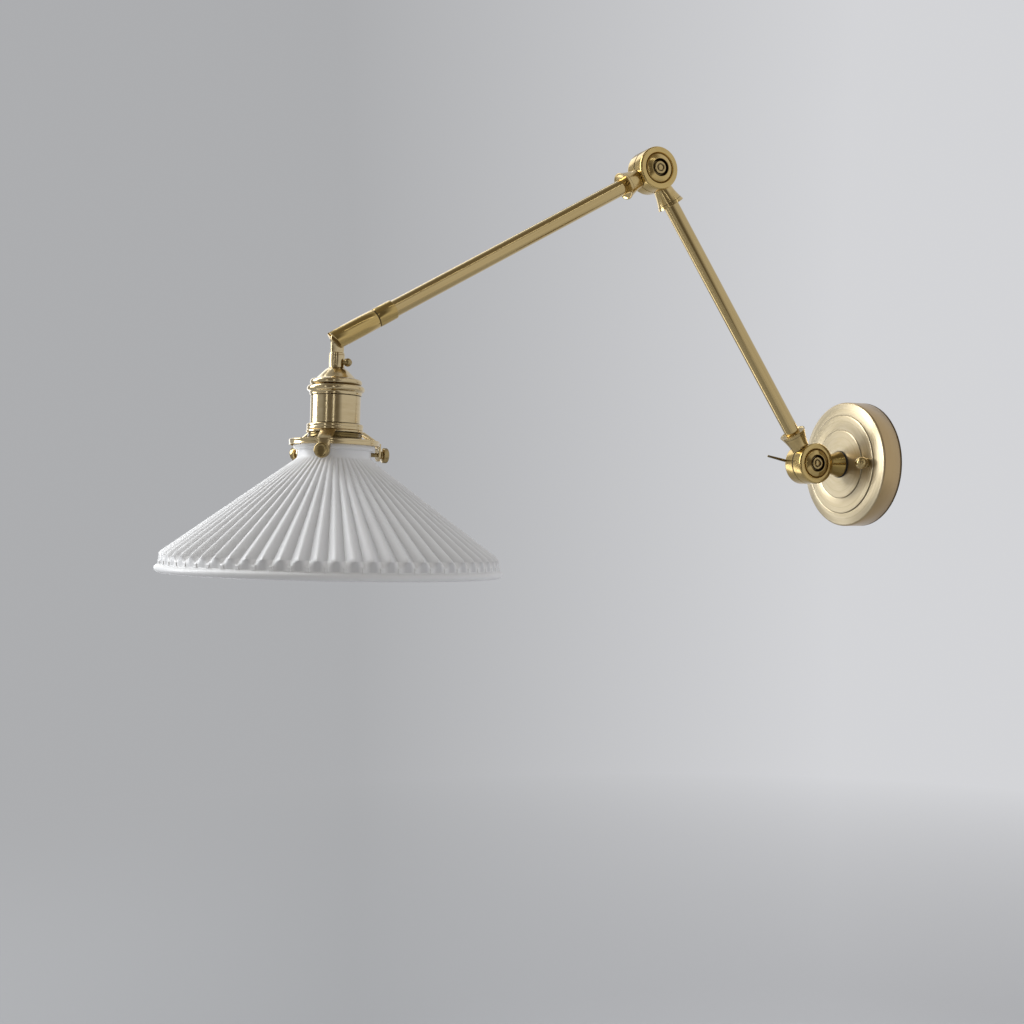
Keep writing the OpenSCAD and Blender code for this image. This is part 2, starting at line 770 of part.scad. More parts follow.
module gallery() {
    hub_r = shade_ring_d / 2 + 0.4;
    lug_cut = thumb_d / 2 + run_fit;
    color(satin_brass) down_head() difference() {
        union() {
            translate([0, 0, hub_s]) difference() {
                cylinder(r = hub_r, h = hub_t);
                translate([0, 0, -1]) cylinder(r = thread_r + run_fit, h = hub_t + 2);
            }
            rotate_extrude() polygon([
                [gallery_r - band_t, band_s], [gallery_r - 0.3, band_s], [gallery_r, band_s + 0.4],
                [gallery_r, band_end_s - 0.4], [gallery_r - 0.3, band_end_s],
                [gallery_r - band_t, band_end_s]]);
            for (turn = [right_turn, left_turn, back_turn]) {
                sector(turn, gallery_arm_w) rotate_extrude() polygon([
                    [hub_r - 1.4, hub_s], [hub_r, hub_s], [gallery_r - 0.4, band_s],
                    [gallery_r - 0.4, band_s + hub_t], [hub_r - 1, hub_s + hub_t],
                    [hub_r - 1.4, hub_s + hub_t]]);
                sector(turn, lug_w) tube_piece(lug_r, lug_t, band_s + 1, lug_end_s);
            }
        }
        for (turn = [right_turn, left_turn, back_turn])
            rotate([0, 0, -turn]) translate([0, 0, thumb_s]) on_axis(1) cylinder(r = lug_cut, h = gallery_d);
    }
}

module thumbscrew(turn) {
    r = thumb_head_d / 2;
    color(shaded_brass) down_head() rotate([0, 0, -turn]) translate([0, 0, thumb_s]) on_axis(1) {
        translate([0, 0, thumb_tip_r]) cylinder(d = thumb_d, h = thumb_head_at + 1 - thumb_tip_r);
        translate([0, 0, thumb_head_at]) rotate_extrude() polygon([
            [0, 0], [r - 0.5, 0], [r, 0.5], [r, thumb_head_t - 0.9], [r - 0.9, thumb_head_t],
            [r - 1.6, thumb_head_t], [r - 2, thumb_head_t - 0.5], [0, thumb_head_t - 0.5]]);
    }
}

module thumbscrew_right() {
    thumbscrew(right_turn);
}

module thumbscrew_left() {
    thumbscrew(left_turn);
}

module thumbscrew_back() {
    thumbscrew(back_turn);
}

// A ring of the shade: radius and station at the ridges, then at the valleys
function plain_ring(r, s) = [r, s, r, s];

// The cone's slope, and a ring part of the way down it with its pleats opened to the given depth
cone_turn = atan2(skirt_r - 3 - neck_r, cone_h);
function cone_ring(f, depth, inset) =
    let (r = neck_r + 1.6 + (skirt_r - 4.6 - neck_r) * f, s = cone_s + 0.6 + (cone_h - 0.6) * f)
    [r - inset * cos(cone_turn), s + inset * sin(cone_turn),
        r - (inset + depth) * cos(cone_turn), s + (inset + depth) * sin(cone_turn)];

// A ring round the rim bead, at the given angle of its section
function bead_ring(a) =
    plain_ring(rim_r - bead_t / 2 * (1 - cos(a)), skirt_end_s + bead_t / 2 * (1 + sin(a)) - 0.2);

// Down the outside, round the bead and up the inside. The folds swap at the shoulder: each ridge
// of the cone runs into a sunk panel of the skirt, and each valley into a raised rib.
function shade_rings() = concat(
    [plain_ring(lip_r - 0.6, shade_top_s), plain_ring(lip_r, shade_top_s + 0.6), plain_ring(lip_r, lip_s),
        plain_ring(neck_r, lip_s), plain_ring(neck_r, cone_s - 0.6)],
    [for (f = [0, 0.33, 0.66, 1]) cone_ring(f, pleat_depth * (0.12 + 0.88 * sqrt(f)), 0)],
    [[skirt_r - 1.5, shoulder_end_s + 2, skirt_r - 2.4, shoulder_end_s + 4.2],
        [skirt_r - 1.2, shoulder_end_s + 4.4, skirt_r - 0.3, shoulder_end_s + 6.4],
        [skirt_r - 1.4, skirt_end_s - 0.3, skirt_r, skirt_end_s - 0.3]],
    [for (a = [-60, -20, 20, 60]) bead_ring(a)],
    [plain_ring(rim_r - bead_t, skirt_end_s + bead_t - 0.4),
        plain_ring(rim_r - bead_t - 1.2, skirt_end_s + bead_t / 2)],
    [[skirt_r - 1.3 - shade_wall, shoulder_end_s + 5, skirt_r - shade_wall, shoulder_end_s + 7.4]],
    [for (f = [1, 0.5, 0]) cone_ring(f, pleat_depth * (0.12 + 0.88 * sqrt(f)) * 0.8, shade_wall)],
    [plain_ring(neck_r - shade_wall, cone_s + 0.6), plain_ring(neck_r - shade_wall, shade_top_s)]);

module shade() {
    rings = shade_rings();
    count = len(rings);
    n = 2 * pleats;
    points = [for (ring = rings) for (i = [0:n - 1])
        let (odd = i % 2, a = i * 180 / pleats - pleat_turn, r = ring[2 * odd])
        [r * cos(a), r * sin(a), ring[2 * odd + 1]]];
    faces = [for (k = [0:count - 1]) for (i = [0:n - 1])
        let (j = (i + 1) % n, m = (k + 1) % count)
        let (p = k * n + i, q = k * n + j, u = m * n + i, v = m * n + j)
        each (i % 2 == 0 ? [[p, q, u], [q, v, u]] : [[p, q, v], [p, v, u]])];
    color(white_glaze) down_head() polyhedron(points, faces, 6);
}

module bulb_cap() {
    color([0.8, 0.8, 0.8]) down_head() rotate_extrude() polygon([
        [0, bulb_tip_s], [3.5, bulb_tip_s], [4.5, bulb_tip_s + 1.5], [10.5, bulb_tip_s + 3.5],
        [bulb_cap_r, bulb_tip_s + 5], [bulb_cap_r, bulb_glass_s], [0, bulb_glass_s]]);
}

// Pear-shaped glass: a neck that opens into the globe, hollow inside
function bulb_line(t) = concat(
    [[12.4 - t, bulb_glass_s], [13.2 - t, bulb_glass_s + 2], [14.4 - t, bulb_glass_s + 7]],
    [[17.2 - t, bulb_glass_s + 14]],
    arc(0, bulb_centre_s, bulb_r - t, -38, 90, 16));

module bulb_glass() {
    outer = bulb_line(0);
    inner = bulb_line(bulb_wall);
    color(white_glaze) down_head() rotate_extrude() polygon(concat(
        outer, [for (i = [len(inner) - 1:-1:0]) inner[i]]));
}

wall_bracket();
mounting_studs();
stud_locknuts();
terminal_block();
wall_plate();
ball_nuts();
swivel_washer();
wall_neck();
neck_spring_washer();
neck_locknut();
wall_pivot_bolt();
wall_friction_ring();
clamp_lever();
lower_arm_base();
lower_tube();
elbow_lower_half();
elbow_bolt();
elbow_friction_ring();
elbow_nut();
elbow_upper_half();
upper_tube();
arm_sleeve();
hinge_pin();
hinge_tongue();
lampholder_cap();
lock_screw();
lampholder_shell();
upper_shade_ring();
lower_shade_ring();
socket_ceramic();
screw_shell();
centre_contact();
gallery();
thumbscrew_right();
thumbscrew_left();
thumbscrew_back();
shade();
bulb_cap();
bulb_glass();
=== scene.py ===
import bpy
import bmesh
import json
import math
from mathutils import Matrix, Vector


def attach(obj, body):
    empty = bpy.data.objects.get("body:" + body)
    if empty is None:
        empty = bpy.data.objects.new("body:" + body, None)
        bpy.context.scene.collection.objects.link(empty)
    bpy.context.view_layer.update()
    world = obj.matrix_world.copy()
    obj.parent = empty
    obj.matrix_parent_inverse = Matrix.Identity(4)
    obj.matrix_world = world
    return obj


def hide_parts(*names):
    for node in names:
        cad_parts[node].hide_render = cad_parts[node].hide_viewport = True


# the looks of a swing arm wall lamp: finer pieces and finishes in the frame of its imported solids
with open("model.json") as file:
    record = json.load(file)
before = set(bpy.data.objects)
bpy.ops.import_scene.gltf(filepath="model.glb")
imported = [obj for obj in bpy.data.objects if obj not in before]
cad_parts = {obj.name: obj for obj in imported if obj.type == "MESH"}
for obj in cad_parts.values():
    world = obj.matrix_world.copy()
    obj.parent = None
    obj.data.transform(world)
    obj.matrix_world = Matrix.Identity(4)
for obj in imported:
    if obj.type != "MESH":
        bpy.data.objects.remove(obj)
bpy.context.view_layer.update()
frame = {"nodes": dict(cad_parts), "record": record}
bodyOf = {}
for bodyName, members in frame["record"]["behaviour"]["bodies"].items():
    for member in members:
        bodyOf[member] = bodyName
print("frame loaded:", len(frame["nodes"]), "nodes")

# what several pieces share, in millimetres and degrees, as the solids have it
place = {
    "wallReach": 53.0,       # wall to the wall knuckle's axis
    "lowerArm": 270.0,
    "upperArm": 292.0,
    "lowerLean": 33.5,       # from upright
    "upperDrop": 29.7,       # below level
    "headTilt": 1.6,         # out of plumb
    "sleeveSeam": 259.8,     # elbow to the ring seam of the sleeve
    "pleats": 64,
    "pleatTurn": 1.6,        # how far the first crest is turned back
}
mm = 0.001


def sinCos(degrees):
    return math.sin(math.radians(degrees)), math.cos(math.radians(degrees))


leanSin, leanCos = sinCos(place["lowerLean"])
dropSin, dropCos = sinCos(place["upperDrop"])
wallPivot = Vector((0, -place["wallReach"], 0))
elbowPivot = wallPivot + Vector((0, -leanSin, leanCos)) * place["lowerArm"]
headPivot = elbowPivot + Vector((0, -dropCos, -dropSin)) * place["upperArm"]

# each seat is a place and a turn: a piece made standing on +Z is settled there
seats = {
    "wall": (Vector((0, 0, 0)), (90, 0, 0)),
    "neck": (wallPivot, (-90, 0, 0)),
    "wallNear": (wallPivot, (0, 90, 0)),
    "wallFar": (wallPivot, (0, -90, 0)),
    "lowerArm": (wallPivot, (place["lowerLean"], 0, 0)),
    "elbowNear": (elbowPivot, (0, 90, 0)),
    "elbowFar": (elbowPivot, (0, -90, 0)),
    "elbowDown": (elbowPivot, (180 + place["lowerLean"], 0, 0)),
    "upperArm": (elbowPivot, (90 + place["upperDrop"], 0, 0)),
    "head": (headPivot, (180 - place["headTilt"], 0, 0)),
}


def clearSelection():
    if bpy.context.mode != "OBJECT":
        bpy.ops.object.mode_set(mode="OBJECT")
    bpy.ops.object.select_all(action="DESELECT")


def activate(piece):
    clearSelection()
    piece.select_set(True)
    bpy.context.view_layer.objects.active = piece


def applyPlace():
    # puts the place, turn and scale of what is selected into its mesh
    bpy.ops.object.transform_apply(location=True, rotation=True, scale=True)


def arc(centreR, centreZ, radius, start, end, steps):
    # points of an outline round a centre, from 0 degrees, which is outwards, towards 90, which is up
    points = []
    for i in range(steps + 1):
        sine, cosine = sinCos(start + (end - start) * i / steps)
        points.append((centreR + radius * cosine, centreZ + radius * sine))
    return points


def selectOpenRings():
    bpy.ops.mesh.select_all(action="DESELECT")
    bpy.ops.mesh.select_non_manifold(extend=False, use_wire=False, use_multi_face=False,
                                     use_non_contiguous=False, use_verts=False)


def drawOut(rise):
    bpy.ops.mesh.extrude_region_move(TRANSFORM_OT_translate={"value": (0, 0, rise)})


def turned(name, outline, sides=96, loop=False, smooth=32):
    # a turned piece on the Z axis: a ring is added and drawn out along its outline
    clearSelection()
    points = [(r * mm, z * mm) for r, z in outline]
    startTip = points.pop(0)[1] if points[0][0] == 0 else None
    endTip = points.pop()[1] if points[-1][0] == 0 else None
    bpy.ops.mesh.primitive_circle_add(vertices=sides, radius=points[0][0], fill_type="NOTHING",
                                      location=(0, 0, points[0][1]))
    piece = bpy.context.object
    piece.name = piece.data.name = name
    applyPlace()
    bpy.ops.object.mode_set(mode="EDIT")
    bpy.ops.mesh.select_mode(type="VERT")
    bpy.ops.mesh.select_all(action="SELECT")
    for (r, z), (nextR, nextZ) in zip(points, points[1:]):
        drawOut(nextZ - z)
        if abs(nextR / r - 1) > 1e-9:
            bpy.ops.transform.resize(value=(nextR / r, nextR / r, 1), center_override=(0, 0, nextZ))
    if endTip is not None:
        drawOut(endTip - points[-1][1])
        bpy.ops.mesh.merge(type="CENTER")
    if startTip is not None:
        selectOpenRings()
        drawOut(startTip - points[0][1])
        bpy.ops.mesh.merge(type="CENTER")
    if loop:
        bpy.ops.mesh.select_mode(type="EDGE")
        selectOpenRings()
        bpy.ops.mesh.bridge_edge_loops()
    bpy.ops.mesh.select_all(action="SELECT")
    bpy.ops.mesh.normals_make_consistent(inside=False)
    bpy.ops.object.mode_set(mode="OBJECT")
    bpy.ops.object.shade_smooth_by_angle(angle=math.radians(smooth))
    return piece


def block(name, low, high):
    # a box between two corners, in millimetres
    clearSelection()
    size = [(b - a) * mm for a, b in zip(low, high)]
    centre = [(a + b) / 2 * mm for a, b in zip(low, high)]
    bpy.ops.mesh.primitive_cube_add(size=1, location=centre, scale=size)
    piece = bpy.context.object
    piece.name = piece.data.name = name
    applyPlace()
    return piece


def crossBar(radius, length, where, sides):
    # a round bar lying along X, to cut with
    clearSelection()
    centre = [v * mm for v in where]
    bpy.ops.mesh.primitive_cylinder_add(vertices=sides, radius=radius * mm, depth=length * mm,
                                        rotation=(0, math.radians(90), 0), location=centre)
    return bpy.context.object


def move(piece, where, turn):
    # moves a piece by millimetres and turns it by degrees, for good
    activate(piece)
    piece.rotation_euler = [math.radians(a) for a in turn]
    piece.location = Vector(where) * mm
    applyPlace()
    return piece


def settle(piece, seat):
    return move(piece, *seats[seat])


def joined(name, pieces):
    activate(pieces[0])
    for other in pieces[1:]:
        other.select_set(True)
    bpy.ops.object.join()
    whole = bpy.context.object
    whole.name = whole.data.name = name
    return whole


def carve(piece, cutter, operation="DIFFERENCE"):
    activate(piece)
    cut = piece.modifiers.new("cut", "BOOLEAN")
    cut.operation = operation
    cut.solver = "EXACT"
    cut.object = cutter
    bpy.ops.object.modifier_apply(modifier="cut")
    bpy.data.objects.remove(cutter)


def easeEdges(piece, width, angle=30, smooth=32):
    activate(piece)
    ease = piece.modifiers.new("ease", "BEVEL")
    ease.width = width * mm
    ease.segments = 2
    ease.limit_method = "ANGLE"
    ease.angle_limit = math.radians(angle)
    ease.use_clamp_overlap = True
    bpy.ops.object.modifier_apply(modifier="ease")
    bpy.ops.object.shade_smooth_by_angle(angle=math.radians(smooth))
    return piece


# sockets that take part in sums
class Link:
    def __init__(self, finish, socket):
        self.finish = finish
        self.socket = socket

    def maths(self, operation, *others):
        return self.finish.node("ShaderNodeMath", {"operation": operation}, self, *others)

    def limited(self):
        # held between 0 and 1
        return self.maths("MINIMUM", 1.0).maths("MAXIMUM", 0.0)

    def __getitem__(self, key):
        # another output of the same node
        return Link(self.finish, self.socket.node.outputs[key])

    def __add__(self, other):
        return self.maths("ADD", other)

    def __radd__(self, other):
        return self.maths("ADD", other)

    def __sub__(self, other):
        return self.maths("SUBTRACT", other)

    def __rsub__(self, other):
        return self.finish.node("ShaderNodeMath", {"operation": "SUBTRACT"}, other, self)

    def __mul__(self, other):
        return self.maths("MULTIPLY", other)

    def __rmul__(self, other):
        return self.maths("MULTIPLY", other)

    def __truediv__(self, other):
        return self.maths("DIVIDE", other)


class Finish:
    def __init__(self, name, owner=None, **fixed):
        self.material = owner or bpy.data.materials.new(name)
        self.material.use_nodes = True
        self.tree = self.material.node_tree
        self.surface = self.tree.nodes["Background" if owner else "Principled BSDF"]
        for socket, value in fixed.items():
            self.surface.inputs[socket.replace("_", " ")].default_value = value

    def node(self, kind, settings, *values, **named):
        made = self.tree.nodes.new(kind)
        for key, value in settings.items():
            setattr(made, key, value)
        wanted = list(zip(made.inputs, values))
        wanted += [(made.inputs[key.replace("_", " ")], v) for key, v in named.items()]
        for socket, value in wanted:
            if isinstance(value, Link):
                self.tree.links.new(value.socket, socket)
            elif value is not None:
                socket.default_value = value
        return Link(self, made.outputs[0])

    def feed(self, socket, value):
        self.tree.links.new(value.socket, self.surface.inputs[socket])

    def local(self, seat=None):
        # coordinates with +Z along the seat's axis, in metres
        spot = self.node("ShaderNodeTexCoord", {})["Object"]
        if seat is None:
            return spot
        where, turn = seats[seat]
        return self.node("ShaderNodeMapping", {"vector_type": "TEXTURE"}, spot, tuple(where * mm),
                         tuple(math.radians(a) for a in turn))

    def around(self, spot):
        # distance from the axis, turn round it and height along it
        parts = self.node("ShaderNodeSeparateXYZ", {}, spot)
        x, y, z = parts["X"], parts["Y"], parts["Z"]
        return (x * x + y * y).maths("SQRT"), y.maths("ARCTAN2", x), z

    def noise(self, spot, scale, detail=2.0, roughness=0.5):
        return self.node("ShaderNodeTexNoise", {"noise_dimensions": "3D"}, Vector=spot, Scale=scale,
                         Detail=detail, Roughness=roughness)

    def vector(self, x, y, z):
        return self.node("ShaderNodeCombineXYZ", {}, x, y, z)

    def blend(self, factor, first, second):
        colours = [c if isinstance(c, Link) else (*c, 1) for c in (first, second)]
        mix = self.node("ShaderNodeMix", {"data_type": "RGBA", "clamp_factor": True},
                        factor, None, None, None, None, None, *colours)
        return mix[2]

    def bump(self, height, strength, distance):
        self.feed("Normal", self.node("ShaderNodeBump", {}, Strength=strength, Distance=distance,
                                      Height=height))


# each grain is how fine its marks and its streaks are: turned ones across the axis and round it,
# drawn ones round the axis and along it
# pale stands for brass under bright light, a painted highlight; side is the plate's side in painted shade;
# the darkest colour paints shade in grooves and gaps, and also faint spun rings
brass = {
    "warm": (0.66, 0.50, 0.235),
    "pale": (0.68, 0.58, 0.40),
    "groove": (0.07, 0.045, 0.02),
    "side": (0.52, 0.363, 0.174),
    "wornShare": (0.80, 0.76, 0.66),
    "roughness": 0.17,
    "turned": [(2600, 0.9), (420, 1.6)],
    "drawn": [(46, 34), (9, 11)],
    "markDepth": 0.00005,
    "grooveEdge": 1.6,
}


def brassFinish(name, seat, grain="turned", tone=1.0, pale=0.0, grooves=(), rough=0.0):
    # satin brass with tool marks round or along its seat's axis, and dark lines: painted shade along grooves,
    # seams and gaps, and a few faint spun rings
    finish = Finish(name, Metallic=1.0, Coat_Weight=0.15, Coat_Roughness=0.08)
    spot = finish.local(seat)
    radius, turn, height = finish.around(spot)
    if grain == "turned":
        paths = [finish.vector(radius * across, turn * about, height * across)
                 for across, about in brass[grain]]
    else:
        paths = [finish.vector(turn * about, start, height * along)
                 for (about, along), start in zip(brass[grain], (0.0, 1.7))]
    marks = finish.noise(paths[0], 1.0, 3, 0.6)
    streak = finish.noise(paths[1], 1.0)
    cloud = finish.noise(spot, 40)
    worn = streak * 1.1 + cloud * 0.3 - 0.35
    # the pale share and the tone paint a piece lighter and paler where it is lit, or darker and warmer where
    # it is in shade
    face = [(w + (p - w) * pale) * tone for w, p in zip(brass["warm"], brass["pale"])]
    deep = [c * share for c, share in zip(face, brass["wornShare"])]
    colour = finish.blend(worn, face, deep)
    # each line blends towards its colour: painted shade in a groove, seam or gap, the plate's side in painted
    # shade, or a faint spun ring
    for along, centre, width, most, *tint in grooves:
        where = radius if along == "radius" else height
        line = 1 - (where - centre * mm).maths("ABSOLUTE") / (width * mm)
        ink = brass[tint[0] if tint else "groove"]
        colour = finish.blend((line * brass["grooveEdge"]).maths("MINIMUM", most), colour, ink)
    finish.feed("Base Color", colour)
    least = brass["roughness"] - 0.08 + rough
    finish.feed("Roughness", marks * 0.08 + streak * 0.05 + cloud * 0.03 + least)
    finish.bump(marks, 0.09, brass["markDepth"])
    return finish.material


plainGrain = {"clouds": 60, "grit": 840, "depth": 0.00006}


def plainFinish(name, colour, other, rough, metallic=0.0, **fixed):
    # a cast, moulded or plated surface: two close tones, uneven gloss and a faint grain
    finish = Finish(name, Metallic=metallic, **fixed)
    spot = finish.local()
    cloud = finish.noise(spot, plainGrain["clouds"], 4, 0.55)
    grit = finish.noise(spot, plainGrain["grit"])
    finish.feed("Base Color", finish.blend(cloud * 1.4 - 0.2, colour, other))
    finish.feed("Roughness", cloud * 0.12 + grit * 0.08 + rough)
    finish.bump(grit, 0.25, plainGrain["depth"])
    return finish.material


# heights are down from the head's hinge, in millimetres
glaze = {
    "crest": (0.89, 0.89, 0.89),
    # valley is the greyer colour of painted shade in the cone's valleys and on the skirt's sunk panels
    "valley": (0.68, 0.68, 0.685),
    "pleatsFrom": 88.0,
    "panelsFrom": 150.8,
    "panelsEnd": 157.8,
}


def glazeFinish(name):
    # white glaze, with painted shade: greyer in the valleys of the cone and on the sunk panels of the skirt
    finish = Finish(name, Coat_Weight=0.12, Coat_Roughness=0.2, Specular_IOR_Level=0.35)
    spot = finish.local("head")
    turn, height = finish.around(spot)[1:]
    wave = ((turn + math.radians(place["pleatTurn"])) * place["pleats"]).maths("COSINE")
    below = ((height - glaze["pleatsFrom"] * mm) * 60).limited()
    above = ((glaze["panelsEnd"] * mm - height) * 2500).limited()
    skirt = ((height - glaze["panelsFrom"] * mm) * 1200).limited()
    # painted shade: greyer in the cone's valleys and on the skirt's panels, none on the bead
    valleyShade = (0.5 - wave * (0.5 - skirt * 1.6)) * below * above
    cloud = finish.noise(spot, 24, 3, 0.5)
    peel = finish.noise(spot, 90)
    finish.feed("Base Color", finish.blend(valleyShade * 0.7 + cloud * 0.3, glaze["crest"], glaze["valley"]))
    finish.feed("Roughness", cloud * 0.16 + 0.34)
    finish.bump(peel, 0.05, 0.0003)
    return finish.material


# each line is what it is measured along, where, half its width, how dark, and its colour where that isn't
# the dark one. The dark one paints shade into grooves, seams, steps and the gaps between parts, and a shadow
# along the plate's back edge at the wall; the plate's faint rings at 45.6, 36 and 22.5 are spun marks, and
# its side is painted in the darker side colour as shade
grooves = {
    "plate": [("radius", 52.6, 2.4, 1.0, "side"), ("radius", 45.6, 0.25, 0.16), ("radius", 40.8, 0.3, 0.5),
              ("radius", 36.0, 0.25, 0.16), ("radius", 28.3, 0.28, 0.45), ("radius", 22.5, 0.25, 0.12),
              ("height", 0.0, 2.6, 1.0)],
    "drum": [("radius", 11.4, 0.4, 0.8), ("radius", 6.7, 0.35, 1.0)],
    "bolt": [("radius", 5.9, 0.95, 0.9), ("radius", 2.6, 0.6, 1.0)],
    "flare": [("height", z, 0.3, 0.7) for z in (27.3, place["lowerArm"] - 27.3)],
    "sleeve": [("height", place["sleeveSeam"], 0.6, 1.0)],
    "head": [("height", z, width, 0.75) for z, width in
             ((20.3, 0.35), (28.3, 0.4), (32.8, 0.5), (39.8, 0.4), (59.2, 0.5), (64.4, 0.5))],
}
# tone and paleness below are painted light: each piece gets a lighter, paler copy of the brass where it is
# lit, or a darker, warmer one where it is in shade
onTube = {"grain": "drawn", "tone": 0.92, "pale": 0.05, "rough": -0.05}
onSleeve = {"grain": "drawn", "tone": 0.9, "pale": -0.3, "rough": -0.05, "grooves": grooves["sleeve"]}
onWallDrum = {"tone": 0.94, "pale": -0.25, "grooves": grooves["drum"]}
onElbowDrum = {"pale": -0.25, "grooves": grooves["drum"]}
onBolt = {"tone": 0.8, "grooves": grooves["bolt"]}
materials = {
    # the plate's face painted pale as if brightly lit, with its grooves and side in painted shade and a
    # painted shadow at its back edge
    "plate": brassFinish("plateBrassPaintedLight", "wall", tone=0.78, pale=1.0, grooves=grooves["plate"], rough=0.16),
    "nuts": brassFinish("nutBrass", "wall", tone=0.8),
    "neck": brassFinish("neckBrass", "neck", tone=0.6, pale=-0.5),
    "wallDrum": brassFinish("wallDrumBrass", "wallNear", **onWallDrum),
    "wallFarDrum": brassFinish("wallFarDrumBrass", "wallFar", **onWallDrum),
    "lowerTube": brassFinish("lowerTubeBrass", "lowerArm", **onTube),
    "lowerFlare": brassFinish("lowerFlareBrass", "lowerArm", grooves=grooves["flare"]),
    "elbowDrum": brassFinish("elbowDrumBrass", "elbowNear", **onElbowDrum),
    "elbowFarDrum": brassFinish("elbowFarDrumBrass", "elbowFar", **onElbowDrum),
    "upperTube": brassFinish("upperTubeBrass", "upperArm", **onTube),
    "sleeve": brassFinish("sleeveBrass", "upperArm", **onSleeve),
    "upperFlare": brassFinish("upperFlareBrass", "upperArm", grooves=grooves["flare"]),
    "head": brassFinish("headBrass", "head", pale=0.55, grooves=grooves["head"]),
    "gallery": brassFinish("galleryBrass", "head", pale=0.5),
    "wallScrew": brassFinish("wallScrewBrass", "wallNear", **onBolt),
    "elbowScrew": brassFinish("elbowScrewBrass", "elbowNear", **onBolt),
    # painted shade: the lever's rod darkened to a third of the brass
    "leverRod": brassFinish("leverRodShadedBrass", "wallFar", tone=0.3),
    "thumb": brassFinish("thumbBrass", "head", tone=0.62, rough=0.06),
    # painted shade: the lower ring, under the shell, darkened to about a third
    "underRing": brassFinish("shadedRingBrass", "head", tone=0.32, pale=-0.3),
    "zinc": plainFinish("zincPlate", (0.62, 0.62, 0.60), (0.50, 0.50, 0.49), 0.30, 1.0),
    "fibre": plainFinish("blackFibre", (0.030, 0.028, 0.026), (0.018, 0.017, 0.016), 0.55),
    "ceramic": plainFinish("bareCeramic", (0.78, 0.75, 0.68), (0.70, 0.67, 0.60), 0.5),
    "terminal": plainFinish("terminalPlastic", (0.74, 0.71, 0.62), (0.68, 0.65, 0.57), 0.42),
    "contact": plainFinish("contactBrass", (0.80, 0.62, 0.30), (0.66, 0.50, 0.24), 0.20, 1.0),
    "bulbMetal": plainFinish("bulbAluminium", (0.74, 0.74, 0.74), (0.62, 0.62, 0.62), 0.26, 1.0),
    "opal": plainFinish("opalBulb", (0.82, 0.82, 0.80), (0.78, 0.78, 0.77), 0.16, Coat_Weight=0.4),
    "glaze": glazeFinish("whiteGlaze"),
}
nodeFinish = {
    "wall_bracket": "zinc", "mounting_studs": "zinc", "stud_locknuts": "zinc",
    "terminal_block": "terminal", "wall_plate": "plate", "ball_nuts": "nuts",
    "swivel_washer": "fibre", "wall_neck": "neck", "neck_spring_washer": "zinc",
    "neck_locknut": "zinc", "wall_pivot_bolt": "wallScrew", "wall_friction_ring": "fibre",
    "clamp_lever": "wallScrew", "lower_arm_base": "wallFarDrum", "lower_tube": "lowerTube",
    "elbow_lower_half": "elbowDrum", "elbow_bolt": "elbowScrew", "elbow_friction_ring": "fibre",
    "elbow_nut": "elbowScrew", "elbow_upper_half": "elbowFarDrum", "upper_tube": "upperTube",
    "arm_sleeve": "sleeve", "hinge_pin": "thumb", "hinge_tongue": "head",
    "lampholder_cap": "head", "lock_screw": "thumb", "lampholder_shell": "head",
    "upper_shade_ring": "head", "lower_shade_ring": "underRing", "socket_ceramic": "ceramic",
    "screw_shell": "contact", "centre_contact": "contact", "gallery": "gallery",
    "thumbscrew_right": "thumb", "thumbscrew_left": "thumb", "thumbscrew_back": "thumb",
    "shade": "glaze", "bulb_cap": "bulbMetal", "bulb_glass": "opal",
}
for nodeName, node in frame["nodes"].items():
    if not node.material_slots:
        node.data.materials.append(None)
    for slot in node.material_slots:
        slot.material = materials[nodeFinish[nodeName]]
print("finishes made:", len(materials))


def painted(piece, finish):
    piece.data.materials.clear()
    piece.data.materials.append(materials[finish])
    return piece


def stands(piece, node):
    # the piece stands for the node, which is hidden: it rides the node's body, and takes the node's finish
    # where it isn't painted already
    if not any(piece.data.materials):
        painted(piece, nodeFinish[node])
    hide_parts(node)
    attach(piece, bodyOf[node])


wallPlate = {"radius": 51.5, "rim": 18.0, "face": 22.0, "wall": 1.2, "edge": 1.8, "hole": 5.05,
             "outerStep": 40.5, "innerStep": 28.0, "step": 0.5}


def makeWallPlate():
    r, rim, face, wall, edge = [wallPlate[k] for k in ("radius", "rim", "face", "wall", "edge")]
    outer, inner, step = wallPlate["outerStep"], wallPlate["innerStep"], wallPlate["step"]
    low, high = rim + 2.4, face - step
    outline = [(r - wall, 0), (r - 0.3, 0), (r, 0.3), (r, 1.4), (r - 0.25, 1.7), (r, 2.0)]
    outline += arc(r - edge, rim - edge, edge, 0, 80, 8)
    outline += [(r - 3.4, rim + 0.14), (outer + 1.2, low - 0.05), (outer + 0.7, low - 0.2),
                (outer + 0.45, low - 0.28), (outer + 0.2, low - 0.1), (outer + 0.1, low + step - 0.15),
                (outer - 0.2, low + step - 0.02), (outer - 0.8, low + step + 0.03),
                (inner + 1.1, high - 0.03), (inner + 0.6, high - 0.2), (inner + 0.4, high - 0.26),
                (inner + 0.15, high - 0.1), (inner + 0.05, face - 0.15),
                (inner - 0.25, face - 0.02), (inner - 0.8, face), (14, face), (wallPlate["hole"], face),
                (wallPlate["hole"], face - wall), (inner - 1, face - wall), (outer - 1, low - wall),
                (r - edge - 1, rim - wall), (r - wall, rim - wall - edge)]
    return settle(turned("wallPlate", outline, sides=160, loop=True, smooth=40), "wall")


ballNuts = {"spacing": 68.0, "seat": 21.1, "collar": 3.9, "collarHeight": 3.0, "ball": 5.0, "bore": 2.05,
            "boreEnd": 7.4, "ballFrom": -34}


